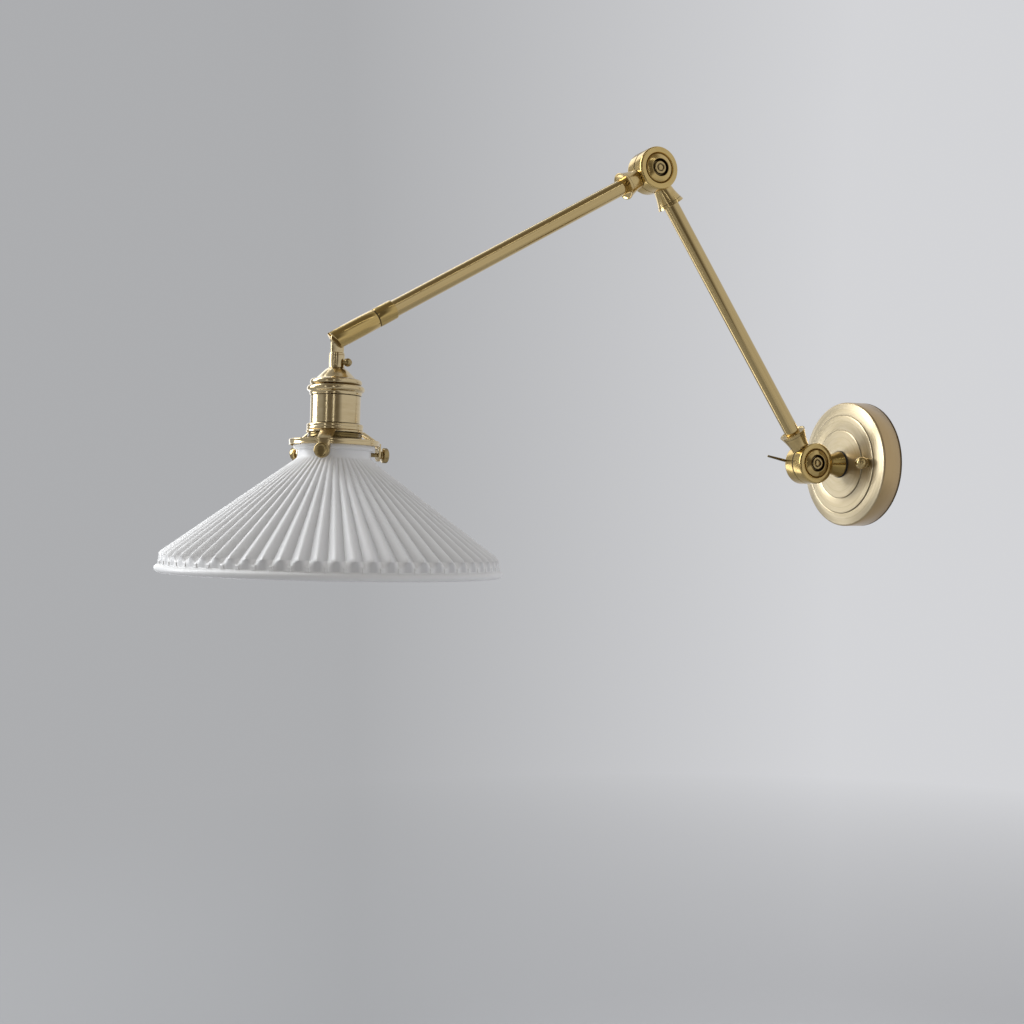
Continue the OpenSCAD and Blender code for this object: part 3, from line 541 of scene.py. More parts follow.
def makeBallNuts():
    collar, rise, ball, bore, end, start = [
        ballNuts[k] for k in ("collar", "collarHeight", "ball", "bore", "boreEnd", "ballFrom")]
    centre = rise + ball * sinCos(-start)[0]
    outline = [(0, end), (bore, end), (bore, 0.05), (collar - 0.4, 0.05), (collar, 0.4), (collar, rise - 0.8),
               (collar - 0.35, rise - 0.4), (collar - 0.35, rise)]
    outline += arc(0, centre, ball, start, 84, 18) + [(0, centre + ball)]
    nuts = []
    for side in (-1, 1):
        nut = turned("ballNut", outline, sides=48, smooth=40)
        move(nut, (side * ballNuts["spacing"] / 2, 0, ballNuts["seat"]), (0, 0, 0))
        nuts.append(settle(nut, "wall"))
    return joined("ballNuts", nuts)


# each profile of the disc is steps in from its edge and steps down from the half's face, and the hollow for
# the flex is its two radii and its depth
drum = {"radius": 16.6, "halfWidth": 10.8, "halfGap": 0.4, "edge": 1.7, "dish": 11.8, "seat": 6.8,
        "bore": 4.05, "hollow": (6, 14.2, 6.4), "crown": 2.1,
        "domed": [(0.7, 1.45), (0.9, 0.6), (1.2, 0.15), (1.8, -0.2), (2.6, -0.6), (3.4, -0.98), (4.1, -1.28)],
        "dished": [(0.7, 1.55), (1.3, 1.6), (2.2, 1.4), (3.2, 1.0), (4.0, 0.72)]}


def makeDrumHalf(name, seat, crowned):
    # a crowned half has its disc domed up to the seat of the bolt head
    r, face, edge, dish = drum["radius"], drum["halfWidth"], drum["edge"], drum["dish"]
    hole, bore, gap = drum["seat"], drum["bore"], drum["halfGap"]
    inner, outer, deep = drum["hollow"]
    rise = drum["crown"] if crowned else 0.0
    outline = [(bore, gap), (inner, gap), (inner, deep), (outer, deep), (outer, gap), (r - 0.35, gap),
               (r, gap + 0.35)]
    outline += arc(r - edge, face - edge, edge, 0, 90, 8)
    outline += [(dish + 0.9, face), (dish + 0.35, face - 0.15), (dish, face - 0.6), (dish - 0.25, face - 1.2)]
    outline += [(dish - step, face - down) for step, down in drum["domed" if crowned else "dished"]]
    outline += [(hole + 0.5, face - 0.64 + rise), (hole + 0.1, face - 0.75 + rise),
                (hole, face - 0.95 + rise), (hole, face - 2.6), (bore, face - 2.6)]
    return settle(turned(name, outline, sides=128, loop=True, smooth=34), seat)


# the open rim is how far below the reach the flare's radius is read, how far in from it and how far below
flare = {"start": 16.2, "reach": 30.0, "base": 7.3, "lip": 10.8, "power": 1.5, "rings": 13, "ringStep": 1.05,
         "foot": 11.6, "socket": 6.05, "floor": 20.5, "stem": 5, "stemBore": 3, "stemFloor": 26,
         "sweep": 16.95, "sweepWidth": 24,
         "rim": [(0.6, 0.0, 0.6), (0.3, -0.05, 0.25), (0.0, 0.15, 0.0), (0.0, 0.7, 0.0), (0.2, 0.9, 0.15),
                 (0.4, 1.1, 0.5), (0.5, 1.5, 0.65)]}


def flareRadius(z, inset=0.0):
    part = max(0.0, (z - flare["start"]) / (flare["reach"] - flare["start"]))
    return flare["base"] + (flare["lip"] - flare["base"]) * part ** flare["power"] - inset


def makeFlare(name, side, tail):
    # a trumpet on +Z, cut back where the other half of the knuckle turns
    foot, reach, socket, floor = [flare[k] for k in ("foot", "reach", "socket", "floor")]
    outline = [(0, foot), (flare["base"], foot)]
    rings = [flare["start"] + i * flare["ringStep"] for i in range(flare["rings"])]
    outline += [(flareRadius(z), z) for z in rings]
    if tail:      # closed, with the hollow stem that goes into the wall plate
        stem, bore, end = flare["stem"], flare["stemBore"], flare["stemFloor"]
        outline += [(flareRadius(reach - 0.5), reach - 0.5), (flareRadius(reach - 0.35), reach - 0.25),
                    (flareRadius(reach) - 0.5, reach - 0.1), (stem, reach - 0.1), (stem, tail), (bore, tail),
                    (bore, end), (0, end)]
    else:         # open, with the socket of the tube
        outline += [(flareRadius(reach - at, inset), reach - down) for at, inset, down in flare["rim"]]
        outline += [(socket, reach - 0.7), (socket, floor), (0, floor)]
    trumpet = turned(name, outline, sides=96, smooth=40)
    where = (side * (drum["halfGap"] - flare["sweepWidth"] / 2), 0, 0)
    carve(trumpet, crossBar(flare["sweep"], flare["sweepWidth"], where, 128))
    activate(trumpet)
    bpy.ops.object.shade_smooth_by_angle(angle=math.radians(40))
    return trumpet


# each half's node, the seats of its drum and its flare, its side, its finishes and where its stem ends
knuckleHalves = {
    "wallNeck": ("wall_neck", "wallNear", "neck", 1, "wallDrum", "neck", 39.2),
    "lowerArmBase": ("lower_arm_base", "wallFar", "lowerArm", -1, "wallFarDrum", "lowerFlare", None),
    "elbowLowerHalf": ("elbow_lower_half", "elbowNear", "elbowDown", 1, "elbowDrum", "lowerFlare", None),
    "elbowUpperHalf": ("elbow_upper_half", "elbowFar", "upperArm", -1, "elbowFarDrum", "upperFlare", None),
}


def makeKnuckleHalf(name, node, drumSeat, flareSeat, side, drumFinish, flareFinish, tail):
    half = painted(makeDrumHalf(name, drumSeat, side > 0), drumFinish)
    trumpet = painted(settle(makeFlare(name + "Flare", side, tail), flareSeat), flareFinish)
    stands(joined(name, [half, trumpet]), node)


stands(makeWallPlate(), "wall_plate")
stands(makeBallNuts(), "ball_nuts")
for halfName, half in knuckleHalves.items():
    makeKnuckleHalf(halfName, *half)
print("wall plate and knuckles made")

# the head's profile is steps in from its edge, at heights over the middle of the knuckle
bolt = {"shank": 4.0, "head": 6.4, "seat": 8.25, "end": 13.5, "top": 12.35,
        "profile": [(0.0, 10.2), (0.2, 10.5), (1.1, 10.6), (1.35, 10.8), (1.45, 11.6), (1.65, 12.05),
                    (2.1, 12.25), (2.8, 12.25), (3.4, 12.05), (3.7, 11.75), (4.0, 11.75), (4.3, 12.0),
                    (4.9, 12.25)]}


def makeBolt(name, seat):
    shank, head, under, end, top = [bolt[k] for k in ("shank", "head", "seat", "end", "top")]
    outline = [(0, -end), (shank - 0.5, -end), (shank, -end + 0.5), (shank, under), (head, under)]
    outline += [(head - step, z) for step, z in bolt["profile"]] + [(0.8, top), (0, top)]
    return settle(turned(name, outline, sides=64, smooth=50), seat)


stands(makeBolt("wallPivotBolt", "wallNear"), "wall_pivot_bolt")
stands(makeBolt("elbowBolt", "elbowNear"), "elbow_bolt")

lever = {"hub": 6.4, "hole": 4.05, "holeEnd": 13.8, "from": 8.5, "rise": 7.7, "across": 13.6, "lift": 11.5,
         "reach": 32.0, "base": 1.2, "tip": 0.9}


def makeLever():
    hub, hole, end, low = lever["hub"], lever["hole"], lever["holeEnd"], lever["from"]
    high = low + lever["rise"]
    boss = turned("leverHub", [(0, end), (hole, end), (hole, low), (hub - 0.4, low), (hub, low + 0.4),
                               (hub, low + 1.4), (hub - 0.5, low + 1.8), (hub - 0.5, low + 2.4),
                               (hub, low + 2.8), (hub, high - 1.9), (hub - 0.5, high - 0.9),
                               (hub - 1.4, high - 0.2), (hub - 2.4, high), (0, high)], sides=64, smooth=45)
    settle(boss, "wallFar")
    base, reach, tip = lever["base"], lever["reach"], lever["tip"]
    rod = turned("leverRod", [(0, hub - 2.2), (base + 0.4, hub - 2), (base + 0.3, hub + 0.6),
                              (base, hub + 1.8), (base * 0.95, reach * 0.6), (tip, reach - 2.2)]
                 + arc(0, reach - tip, tip, 0, 80, 6) + [(0, reach)], sides=32, smooth=50)
    painted(boss, "wallScrew")
    painted(rod, "leverRod")
    move(rod, (-lever["across"], 0, 0), (90 - lever["lift"], 0, 0))
    move(rod, wallPivot, (0, 0, 0))
    return joined("clampLever", [boss, rod])


stands(makeLever(), "clamp_lever")

tubes = {"radius": 6.0, "wall": 1.0, "seat": 20.6, "lowerEnd": 249.4, "upperEnd": 276.9}
sleeve = {"radius": 6.95, "bore": 6.05, "top": 244.8, "seamDepth": 0.45, "end": 295.8, "plug": 277.0,
          "slot": 1.8, "slotFloor": 286.4, "cutBack": 2.8, "beyond": 9}


def makeTube(name, seat, end):
    r, wall, start = tubes["radius"], tubes["wall"], tubes["seat"]
    outline = [(r - wall, start), (r - 0.25, start), (r, start + 0.25)]
    outline += [(r, start + (end - start) * i / 12) for i in range(1, 12)]
    outline += [(r, end - 0.25), (r - 0.25, end), (r - wall, end)]
    return settle(turned(name, outline, sides=128, loop=True, smooth=40), seat)


def makeSleeve():
    r, bore, plug, top, end = [sleeve[k] for k in ("radius", "bore", "plug", "top", "end")]
    seam, floor = place["sleeveSeam"], r - sleeve["seamDepth"]
    outline = [(0, plug), (bore, plug), (bore, top), (r - 0.3, top), (r, top + 0.3), (r, seam - 0.5),
               (r - 0.12, seam - 0.32), (floor, seam - 0.2), (floor, seam + 0.2), (r - 0.12, seam + 0.32),
               (r, seam + 0.5), (r, seam + 12), (r, seam + 24), (r, end + 1), (0, end + 1)]
    piece = turned("armSleeve", outline, sides=128, smooth=40)
    slot, beyond = sleeve["slot"], sleeve["beyond"]
    carve(piece, block("slotCut", (-slot, -beyond, sleeve["slotFloor"]), (slot, beyond, end + 2)))
    cutter = block("endCut", (-beyond, -28, 0), (beyond, 12, 6))
    tiltBack = math.degrees(math.atan2(sleeve["cutBack"], 2 * r))
    carve(piece, move(cutter, (0, r, end), (tiltBack, 0, 0)))
    easeEdges(piece, 0.22, angle=38, smooth=35)
    return settle(piece, "upperArm")


stands(makeTube("lowerTube", "lowerArm", tubes["lowerEnd"]), "lower_tube")
stands(makeTube("upperTube", "upperArm", tubes["upperEnd"]), "upper_tube")
stands(makeSleeve(), "arm_sleeve")
print("bolts, lever, tubes and sleeve made")

tongue = {"thick": 3.0, "eye": 5.0, "hole": 1.35, "bar": 4.5, "barFrom": 2.2, "shoulder": 9.6, "collar": 5.3,
          "neck": 11.1, "stud": 4.25, "studEnd": 19.2, "ease": 0.35}


def makeTongue():
    half, bar, shoulder, collar = tongue["thick"] / 2, tongue["bar"], tongue["shoulder"], tongue["collar"]
    hole, rim, stud, end = [tongue[k] for k in ("hole", "eye", "stud", "studEnd")]
    eye = turned("tongueEye", [(hole, -half), (rim, -half), (rim, half), (hole, half)], sides=64, loop=True)
    move(eye, (0, 0, 0), (0, 90, 0))
    easeEdges(eye, tongue["ease"])
    shank = block("tongueBar", (-half, -bar, tongue["barFrom"]), (half, bar, shoulder + 0.4))
    easeEdges(shank, tongue["ease"])
    seat = turned("tongueCollar", [(0, shoulder), (collar - 0.4, shoulder), (collar, shoulder + 0.4),
                                   (collar, tongue["neck"]), (stud, tongue["neck"]), (stud, end), (0, end)],
                  sides=64)
    return settle(joined("hingeTongue", [eye, shank, seat]), "head")


# the bead and the roll are each how far out they reach, how high they stand and how round they are
cap = {"neck": 5.5, "bead": (20.0, 35.0, 2.3), "roll": (18.0, 30.45, 2.25), "hole": 4.35, "from": 11.2,
       "skirt": 16.2, "wall": 15.2, "skirtFrom": 39.7, "end": 43.9}


def makeCap():
    neck, hole, start, skirt, wall, edge, end = [
        cap[k] for k in ("neck", "hole", "from", "skirt", "wall", "skirtFrom", "end")]
    (roll, rollAt, rollRound), (bead, beadAt, beadRound) = cap["roll"], cap["bead"]
    outline = [(hole, start), (neck - 0.3, start), (neck, start + 0.3), (neck, 15), (neck, 19.7),
               (neck + 0.2, 20.3), (neck + 0.8, 20.75), (neck + 1.5, 21.1), (9.2, 23.1), (11.6, 25.5),
               (13.6, 27.5), (14.2, 28.0)]
    outline += arc(roll - rollRound, rollAt, rollRound, -62, 62, 10) + [(16.6, 32.75)]
    outline += arc(bead - beadRound, beadAt, beadRound, -70, 66, 10)
    outline += [(roll + 0.2, 37.45), (roll, 37.8), (roll, edge - 0.4), (roll - 0.4, edge), (skirt, edge),
                (skirt, end), (wall, end), (wall, 32.7), (7.35, 23.6), (hole, 22.2)]
    return settle(turned("lampholderCap", outline, sides=128, loop=True, smooth=38), "head")


shell = {"radius": 17.3, "from": 39.7, "to": 59.4, "thread": 16.4, "threadDepth": 0.35, "threadEnd": 71.4,
         "rings": 16, "pitch": 0.72, "wall": 15.2}


def makeShell():
    r, start, end, thread, wall = [shell[k] for k in ("radius", "from", "to", "thread", "wall")]
    outline = [(r - 1, start), (r - 0.3, start), (r, start + 0.3), (r, 45), (r, 52), (r, end - 0.3),
               (r - 0.3, end), (thread, end)]
    for i in range(shell["rings"]):      # the screw thread, drawn as plain rings
        z = end + 0.3 + i * shell["pitch"]
        outline += [(thread, z), (thread - shell["threadDepth"], z + 0.35)]
    outline += [(thread, shell["threadEnd"]), (thread - 0.2, shell["threadEnd"] + 0.1),
                (wall, shell["threadEnd"] + 0.1), (wall, 45.9), (r - 1, 44.9)]
    return settle(turned("lampholderShell", outline, sides=128, loop=True, smooth=38), "head")


# each ring is how far out it reaches, where it starts and how high it is
shadeRings = {"bore": 16.45, "round": 0.9, "dent": 0.15, "upper": (19.5, 59.4, 4.6),
              "lower": (18.7, 65.4, 4.0)}


def makeShadeRing(which):
    bore, bend, dent = shadeRings["bore"], shadeRings["round"], shadeRings["dent"]
    outer, start, height = shadeRings[which]
    middle = start + height / 2
    outline = [(bore, start)] + arc(outer - bend, start + bend, bend, -90, 0, 6)
    outline += [(outer, middle - 0.3), (outer - dent, middle), (outer, middle + 0.3)]
    outline += arc(outer - bend, start + height - bend, bend, 0, 90, 6) + [(bore, start + height)]
    return settle(turned(which + "ShadeRing", outline, sides=128, loop=True, smooth=38), "head")


stands(makeTongue(), "hinge_tongue")
stands(makeCap(), "lampholder_cap")
stands(makeShell(), "lampholder_shell")
stands(makeShadeRing("upper"), "upper_shade_ring")
stands(makeShadeRing("lower"), "lower_shade_ring")


def screwedIn(screw, station, turn):
    # lays a screw that was made standing on the head's axis across it, at its station and turn
    move(screw, (0, 0, 0), (0, 90, 0))
    move(screw, (0, 0, station), (0, 0, -turn))
    return settle(screw, "head")


lockScrew = {"turn": 45, "station": 16.5, "shank": 1.5, "from": 4.25, "head": 3.0, "headAt": 8.5}


def makeLockScrew():
    shank, start = lockScrew["shank"], lockScrew["from"]
    outline = [(0, start), (shank, start), (shank, 6.4), (2.0, 6.5), (2.3, 6.7)]
    outline += arc(0, lockScrew["headAt"], lockScrew["head"], -30, 60, 10)
    outline += [(1.2, 11.2), (0.9, 11.0), (0, 10.9)]
    screw = turned("lockScrew", outline, sides=48, smooth=50)
    return screwedIn(screw, lockScrew["station"], lockScrew["turn"])


stands(makeLockScrew(), "lock_screw")

gallery = {"hub": 19.9, "bore": 16.45, "hubStart": 64.0, "hubThick": 1.4, "rim": 31.3, "bandStart": 70.7,
           "bandEnd": 74.6, "bandThick": 1.1, "arm": 5.0, "lugOuter": 32.8, "lugThick": 1.6, "lugHalf": 4.5,
           "lugEnd": 83.9, "screwAt": 79.5, "turns": (-30, 210, 90), "cutReach": 40, "cutLow": 60,
           "cutHigh": 80}


def ringPiece(name, outline):
    return turned(name, outline, sides=160, loop=True)


def makeGalleryArm(turn):
    # a slice of a cone from the hub to the band
    hub, rim, low = gallery["hub"], gallery["rim"], gallery["bandStart"]
    start, top = gallery["hubStart"], gallery["hubStart"] + gallery["hubThick"]
    arm = ringPiece("galleryArm", [(hub - 1.4, start), (hub, start), (rim - 0.6, low + 0.05),
                                   (rim - 0.4, low + 0.3), (rim - 0.4, low + 1.4), (hub - 1, top),
                                   (hub - 1.4, top)])
    half, reach = gallery["arm"], gallery["cutReach"]
    strip = block("strip", (0, -half, gallery["cutLow"]), (reach, half, gallery["cutHigh"]))
    carve(arm, move(strip, (0, 0, 0), (0, 0, -turn)), "INTERSECT")
    return easeEdges(arm, 0.2)


def makeGalleryLug(turn):
    # a round-ended tab outside the band, where the screw goes through
    outer, low, end = gallery["lugOuter"], gallery["bandStart"] + 1, gallery["lugEnd"]
    inner, half, reach = outer - gallery["lugThick"], gallery["lugHalf"], gallery["cutReach"]
    lug = ringPiece("galleryLug", [(inner, low), (outer, low), (outer, end), (inner, end)])
    strip = block("lugStrip", (0, -half, gallery["cutLow"]), (reach, half, gallery["screwAt"]))
    roundEnd = crossBar(half, reach, (reach / 2, 0, gallery["screwAt"]), 64)
    activate(roundEnd)
    applyPlace()
    carve(strip, roundEnd, "UNION")
    carve(lug, move(strip, (0, 0, 0), (0, 0, -turn)), "INTERSECT")
    return easeEdges(lug, 0.25)


def makeGallery():
    hub, bore, start = gallery["hub"], gallery["bore"], gallery["hubStart"]
    top = start + gallery["hubThick"]
    ring = turned("galleryHub", [(bore, start), (hub - 0.3, start), (hub, start + 0.3), (hub, top - 0.3),
                                 (hub - 0.3, top), (bore, top)], sides=128, loop=True)
    rim, low, high, thick = [gallery[k] for k in ("rim", "bandStart", "bandEnd", "bandThick")]
    band = ringPiece("galleryBand", [(rim - thick, low + 0.2), (rim - thick + 0.2, low), (rim - 0.3, low),
                                     (rim, low + 0.3), (rim, low + 1.2), (rim - 0.12, low + 1.4),
                                     (rim - 0.12, high - 1.0), (rim, high - 0.8), (rim, high - 0.3),
                                     (rim - 0.3, high), (rim - thick + 0.2, high), (rim - thick, high - 0.2)])
    pieces = [ring, band]
    for turn in gallery["turns"]:
        pieces += [makeGalleryArm(turn), makeGalleryLug(turn)]
    return settle(joined("gallery", pieces), "head")


thumb = {"shank": 1.5, "tip": 25.55, "headAt": 34.8, "head": 5.3, "thick": 4.0, "notches": 36, "notch": 0.955}


def makeThumbscrew(name, turn):
    shank, tip, head, low = thumb["shank"], thumb["tip"], thumb["head"], thumb["headAt"]
    high = low + thumb["thick"]
    outline = [(0, tip), (shank - 0.4, tip), (shank, tip + 0.5), (shank, low - 1.6), (2.6, low - 1.4),
               (2.9, low - 1.0), (2.9, low), (head - 0.5, low + 0.05), (head, low + 0.5), (head, high - 0.9),
               (head - 0.35, high - 0.35), (head - 0.9, high), (head - 1.5, high), (head - 1.9, high - 0.45),
               (head - 2.6, high - 0.6), (1.2, high - 0.6), (0, high - 0.6)]
    screw = turned(name, outline, sides=2 * thumb["notches"], smooth=45)
    bpy.ops.object.mode_set(mode="EDIT")
    mesh = bmesh.from_edit_mesh(screw.data)
    for vert in mesh.verts:      # every other line of points on the rim sinks in, as a fine knurl
        step = round(math.atan2(vert.co.y, vert.co.x) / math.pi * thumb["notches"])
        vert.select = math.hypot(vert.co.x, vert.co.y) > (head - 0.02) * mm and step % 2 == 0
    bmesh.update_edit_mesh(screw.data)
    bpy.ops.transform.resize(value=(thumb["notch"], thumb["notch"], 1), center_override=(0, 0, 0))
    bpy.ops.object.mode_set(mode="OBJECT")
    return screwedIn(screw, gallery["screwAt"], turn)


stands(makeGallery(), "gallery")
for which, turn in zip(("right", "left", "back"), gallery["turns"]):
    stands(makeThumbscrew("thumbscrew" + which.capitalize(), turn), "thumbscrew_" + which)
print("head made")

# heights are down from the head's hinge, and shares are of the way from a crest to its valley or of the depth
shade = {"steps": 12, "depth": 3.2, "crestLow": 0.12, "crestHigh": 0.3, "sunk": 0.5, "lip": 28.3,
         "neck": 25.25, "top": 73.5, "lipEnd": 77.7, "coneStart": 83.9, "coneHeight": 64.4, "skirt": 116.6,
         "wall": 3.6, "shoulder": 6.0, "shoulderAt": 153.5, "apex": 151.2, "eave": 154.0, "panelEnd": 157.9,
         "bead": 2.5, "beadAt": (116.5, 160.95), "leanEnd": 153,
         "coneIn": 1.6, "eaveIn": 3, "coneStep": 0.6, "neckShare": 0.1, "growth": 0.8, "ridge": 0.04,
         "ridgeFall": 6, "innerShare": 0.8, "roofShare": 0.85, "panelEdge": 0.8, "panelFlat": 0.6,
         "panelFoot": 0.77}
coneLean = math.degrees(math.atan2(shade["skirt"] - shade["eaveIn"] - shade["neck"], shade["coneHeight"]))


def held(value):
    # between 0 and 1
    return max(0.0, min(1.0, value))


def coneAt(part, inset=0.0):
    # a point of the cone's side, by how far down it is, and how far inside
    sine, cosine = sinCos(coneLean)
    neck, coneIn, step = shade["neck"], shade["coneIn"], shade["coneStep"]
    r = neck + coneIn + (shade["skirt"] - (shade["eaveIn"] + coneIn) - neck) * part
    z = shade["coneStart"] + step + (shade["coneHeight"] - step) * part
    return r - inset * cosine, z + inset * sine


def shadeOutline():
    lip, neck, top, lipEnd, wall = [shade[k] for k in ("lip", "neck", "top", "lipEnd", "wall")]
    skirt, shoulder, apex, end = [shade[k] for k in ("skirt", "shoulder", "apex", "panelEnd")]
    outline = [(neck - wall, top + 0.6), (neck - wall + 0.6, top)]
    outline += arc(lip - 1.4, top + 1.4, 1.4, -90, 0, 5) + arc(lip - 1.4, lipEnd - 1.4, 1.4, 0, 80, 5)
    outline += [(neck + 0.6, lipEnd + 0.1), (neck + 0.1, lipEnd + 0.5), (neck, lipEnd + 1.2), (neck, 81.4),
                (neck + 0.15, 82.6), (neck + 0.6, 83.6)]
    outline += [coneAt(i / 13) for i in range(13)]
    for turn in (53.9, 46, 38, 30, 22.5):
        sine, cosine = sinCos(turn)
        outline.append((skirt - shoulder + shoulder * cosine, shade["shoulderAt"] - shoulder * sine))
    outline += [(skirt - 0.1, apex + 1.1), (skirt, 153.4), (skirt, 155.0), (skirt, 156.8), (skirt, end),
                (skirt, end + 0.4)]
    outline += arc(*shade["beadAt"], shade["bead"], -72, 110, 14)
    outline += [(skirt - 2.4, 162.6), (skirt - wall, 161.0), (skirt - wall, 158.0), (skirt - wall, 154.6)]
    outline += [coneAt(1 - i / 6, wall) for i in range(7)] + [(neck - wall, coneAt(0, wall)[1] - 1.6)]
    return outline


def foldShade(piece):
    # sinks a groove between each two crests of the cone and a panel under each crest of the skirt
    pitch = 360 / place["pleats"]
    low, high = shade["coneStart"] + shade["coneStep"], shade["coneStart"] + shade["coneHeight"]
    eave, apex, end = shade["eave"], shade["apex"], shade["panelEnd"]
    edge = 2 / shade["steps"]      # from a crest to its first line of points
    for vert in piece.data.vertices:
        x, y, z = [v / mm for v in vert.co]
        r = math.hypot(x, y)
        if z < low - 0.01 or z > end + 0.2 or (z > eave - 0.1 and r < shade["skirt"] - 1):
            continue
        angle = math.degrees(math.atan2(y, x)) + place["pleatTurn"]
        crest = round(angle / pitch) * pitch
        across = (angle - crest) / (pitch / 2)
        even = abs(across)
        along = held((z - low) / (high - low))
        inner = r < coneAt(along)[0] - 1.2 and z < eave - 0.1
        flat = shade["crestHigh"] + (shade["crestLow"] - shade["crestHigh"]) * along
        fold = max(0.0, (even - edge) / (1 - edge))
        spread = flat * even / edge if even < edge else flat + (1 - flat) * fold
        ridge = shade["ridge"] * max(0.0, 1 - abs(even - edge) * shade["ridgeFall"])
        groove = fold + ridge if even < 0.999 else 1.0
        deep = shade["neckShare"] + (1 - shade["neckShare"]) * along ** shade["growth"]
        depth = shade["depth"] * deep * groove
        sunk = 0.0
        down = 0.0
        if not inner and z > high:
            depth *= max(0.0, (eave - z - 1.2) / (eave - high - 1.2))
            roof = min(1.0, spread / shade["roofShare"])
            rise = (z - high) / (apex - high)
            fall = (end - z) / (end - apex - 1.1)
            down = (eave - apex) * roof * held(min(rise, fall))
            if z > apex + 0.2 and spread < shade["panelEdge"]:
                sunk = shade["sunk"]
                spread = spread if even < shade["panelFlat"] else shade["panelFoot"]
        elif inner:
            depth *= shade["innerShare"]
        lean = coneLean * held((shade["leanEnd"] - z) / (shade["leanEnd"] - high))
        sine, cosine = sinCos(lean)
        r -= depth * cosine + sunk
        z += depth * sine + down
        sine, cosine = sinCos(crest + math.copysign(spread, across) * pitch / 2 - place["pleatTurn"])
        vert.co = Vector((r * cosine, r * sine, z)) * mm


def makeShade():
    piece = turned("shadeGlass", shadeOutline(), sides=place["pleats"] * shade["steps"], loop=True)
    move(piece, (0, 0, 0), (0, 0, -place["pleatTurn"]))
    foldShade(piece)
    piece.data.update()
    bpy.ops.object.shade_smooth_by_angle(angle=math.radians(30))
    return settle(piece, "head")


stands(makeShade(), "shade")
print("shade made")


# the camera, the floor and the room's light, in metres and degrees; the lens is given in pixels of the frame
view = {"at": (0.87256, -0.72162, -0.03982), "yaw": 65.40, "focalPixels": 1300.0, "pixels": 1024.0,
        "sensor": 36.0, "nearest": 0.01}
floorPlan = {"height": -0.62, "across": 60.0, "colour": (0.30, 0.303, 0.312), "fadeFrom": 0.5,
             "fadeOver": 1.3}
# each part of the room: the way it lies, where it starts, over how much it fades in, and its colour; a look
# straight that way is at 1, and one across it is at 0
room = {
    "left": (0.415, 0.42, 0.432),
    "right": {"way": (0.416, 0.909, 0.0), "from": -0.12, "over": 0.36, "colour": (0.655, 0.66, 0.68)},
    "above": {"way": (0.382, -0.175, 0.907), "from": 0.76, "over": 0.15, "colour": (0.21, 0.185, 0.145)},
    "behind": {"way": (0.823, -0.568, 0.0), "from": 0.66, "over": 0.20, "colour": (0.15, 0.135, 0.115)},
}


def roomColour(finish, way):
    # pale all round and lighter to the right, but for the darker parts that the brass reflects:
    # overhead and behind the camera
    look = finish.node("ShaderNodeVectorMath", {"operation": "NORMALIZE"}, way)
    colour = room["left"]
    for part in (room["right"], room["above"], room["behind"]):
        share = finish.node("ShaderNodeVectorMath", {"operation": "DOT_PRODUCT"}, look, part["way"])["Value"]
        colour = finish.blend((share - part["from"]) / part["over"], colour, part["colour"])
    return colour


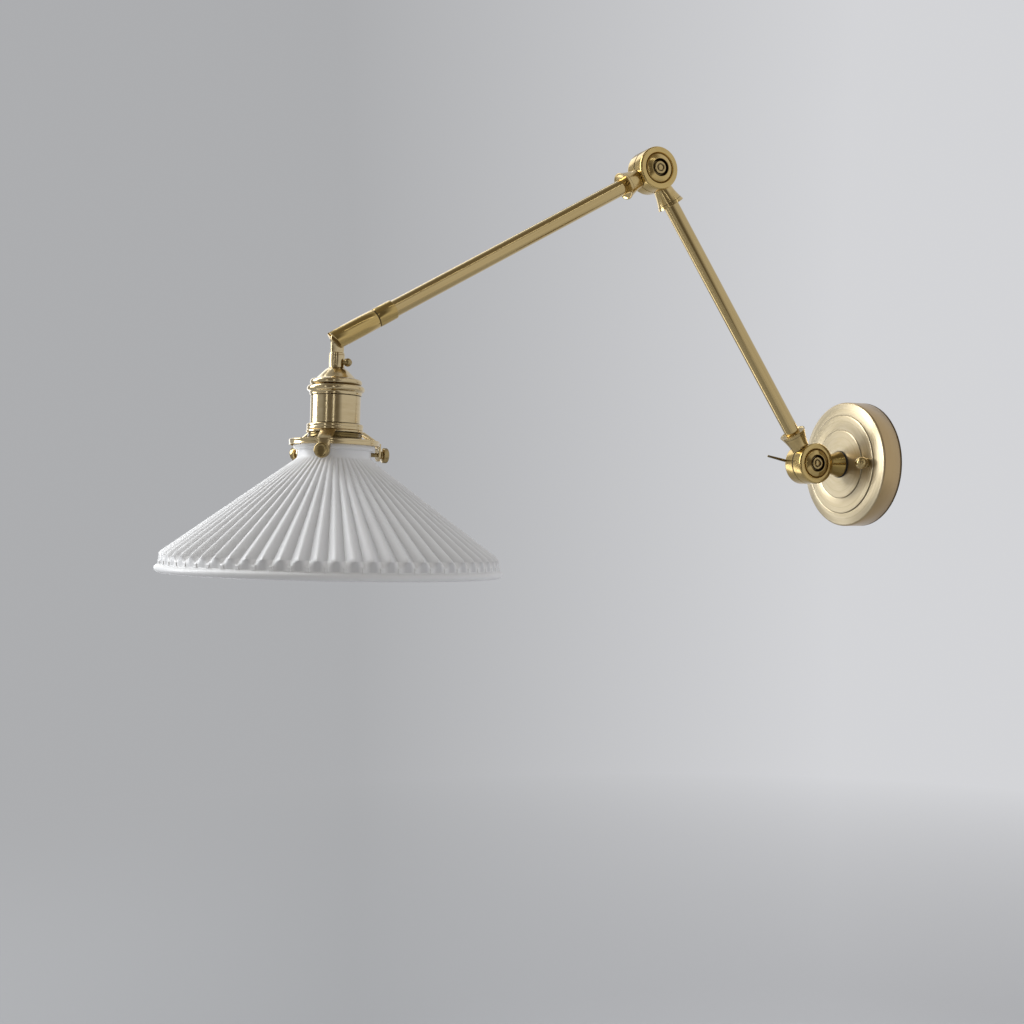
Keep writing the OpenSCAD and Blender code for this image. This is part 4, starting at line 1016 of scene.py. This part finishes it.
def makeFloor():
    clearSelection()
    bpy.ops.mesh.primitive_plane_add(size=floorPlan["across"], location=(0, 0, floorPlan["height"]))
    floor = bpy.context.object
    floor.name = "paleFloor"
    finish = Finish("paleFloor", Roughness=0.9, Specular_IOR_Level=0.2)
    spot = finish.local()
    cloud = finish.noise(spot, 1.3)
    fromCamera = finish.node("ShaderNodeVectorMath", {"operation": "SUBTRACT"}, spot, (*view["at"][:2], 0.0))
    around = roomColour(finish, fromCamera)
    finish.feed("Base Color", finish.blend(cloud * 0.06 + 0.3, around, floorPlan["colour"]))
    # far away the floor turns into the room's own colour, so that no horizon shows
    fade = (finish.around(spot)[0] - floorPlan["fadeFrom"]) / floorPlan["fadeOver"]
    haze = finish.node("ShaderNodeEmission", {}, around, 1.0)
    lit = Link(finish, finish.surface.outputs[0])
    mixed = finish.node("ShaderNodeMixShader", {}, fade.limited(), lit, haze)
    finish.tree.links.new(mixed.socket, finish.tree.nodes["Material Output"].inputs["Surface"])
    floor.data.materials.append(finish.material)


def makeRoom():
    world = bpy.data.worlds.new("paleRoom")
    bpy.context.scene.world = world
    finish = Finish("paleRoom", owner=world)
    finish.feed("Color", roomColour(finish, finish.node("ShaderNodeTexCoord", {})["Generated"]))


makeFloor()
makeRoom()
lamps = {
    "windowLeft": {"at": (-1.13, -1.96, 1.00), "size": (1.0, 2.3), "power": 50},
    "windowFar": {"at": (-2.20, -0.34, 0.85), "size": (1.0, 2.2), "power": 9},
    "stripBehind": {"at": (2.2, -1.5, 0.1), "size": (0.12, 1.7), "power": 1.5},
    "stripLeft": {"at": (1.15, -2.35, 0.1), "size": (0.12, 1.7), "power": 1.5},
    "stripTop": {"at": (-1.30, -0.25, 1.85), "size": (1.5, 0.25), "power": 3.0},
    "stripFront": {"at": (1.35, -0.15, 1.65), "size": (1.3, 0.10), "power": 0.9},
    "stripLow": {"at": (-0.62, -0.47, -0.24), "size": (0.12, 0.5), "power": 0.45},
}
lampAim = Vector((0, -0.25, 0.05))
lampColour = (0.96, 0.98, 1.0)
for lampName, lamp in lamps.items():
    clearSelection()
    bpy.ops.object.light_add(type="AREA", location=lamp["at"])
    light = bpy.context.object
    light.name = lampName
    light.data.shape = "RECTANGLE"
    light.data.size, light.data.size_y = lamp["size"]
    light.data.energy = lamp["power"]
    light.data.color = lampColour
    light.visible_camera = False
    light.rotation_euler = (lampAim - Vector(lamp["at"])).to_track_quat("-Z", "Y").to_euler()

clearSelection()
bpy.ops.object.camera_add(location=view["at"], rotation=(math.radians(90), 0, math.radians(view["yaw"])))
camera = bpy.context.object
camera.data.sensor_width = view["sensor"]
camera.data.lens = view["focalPixels"] * view["sensor"] / view["pixels"]
camera.data.clip_start = view["nearest"]
bpy.context.scene.camera = camera
bpy.context.scene.view_settings.view_transform = "Standard"
print("stage, lights and camera set")
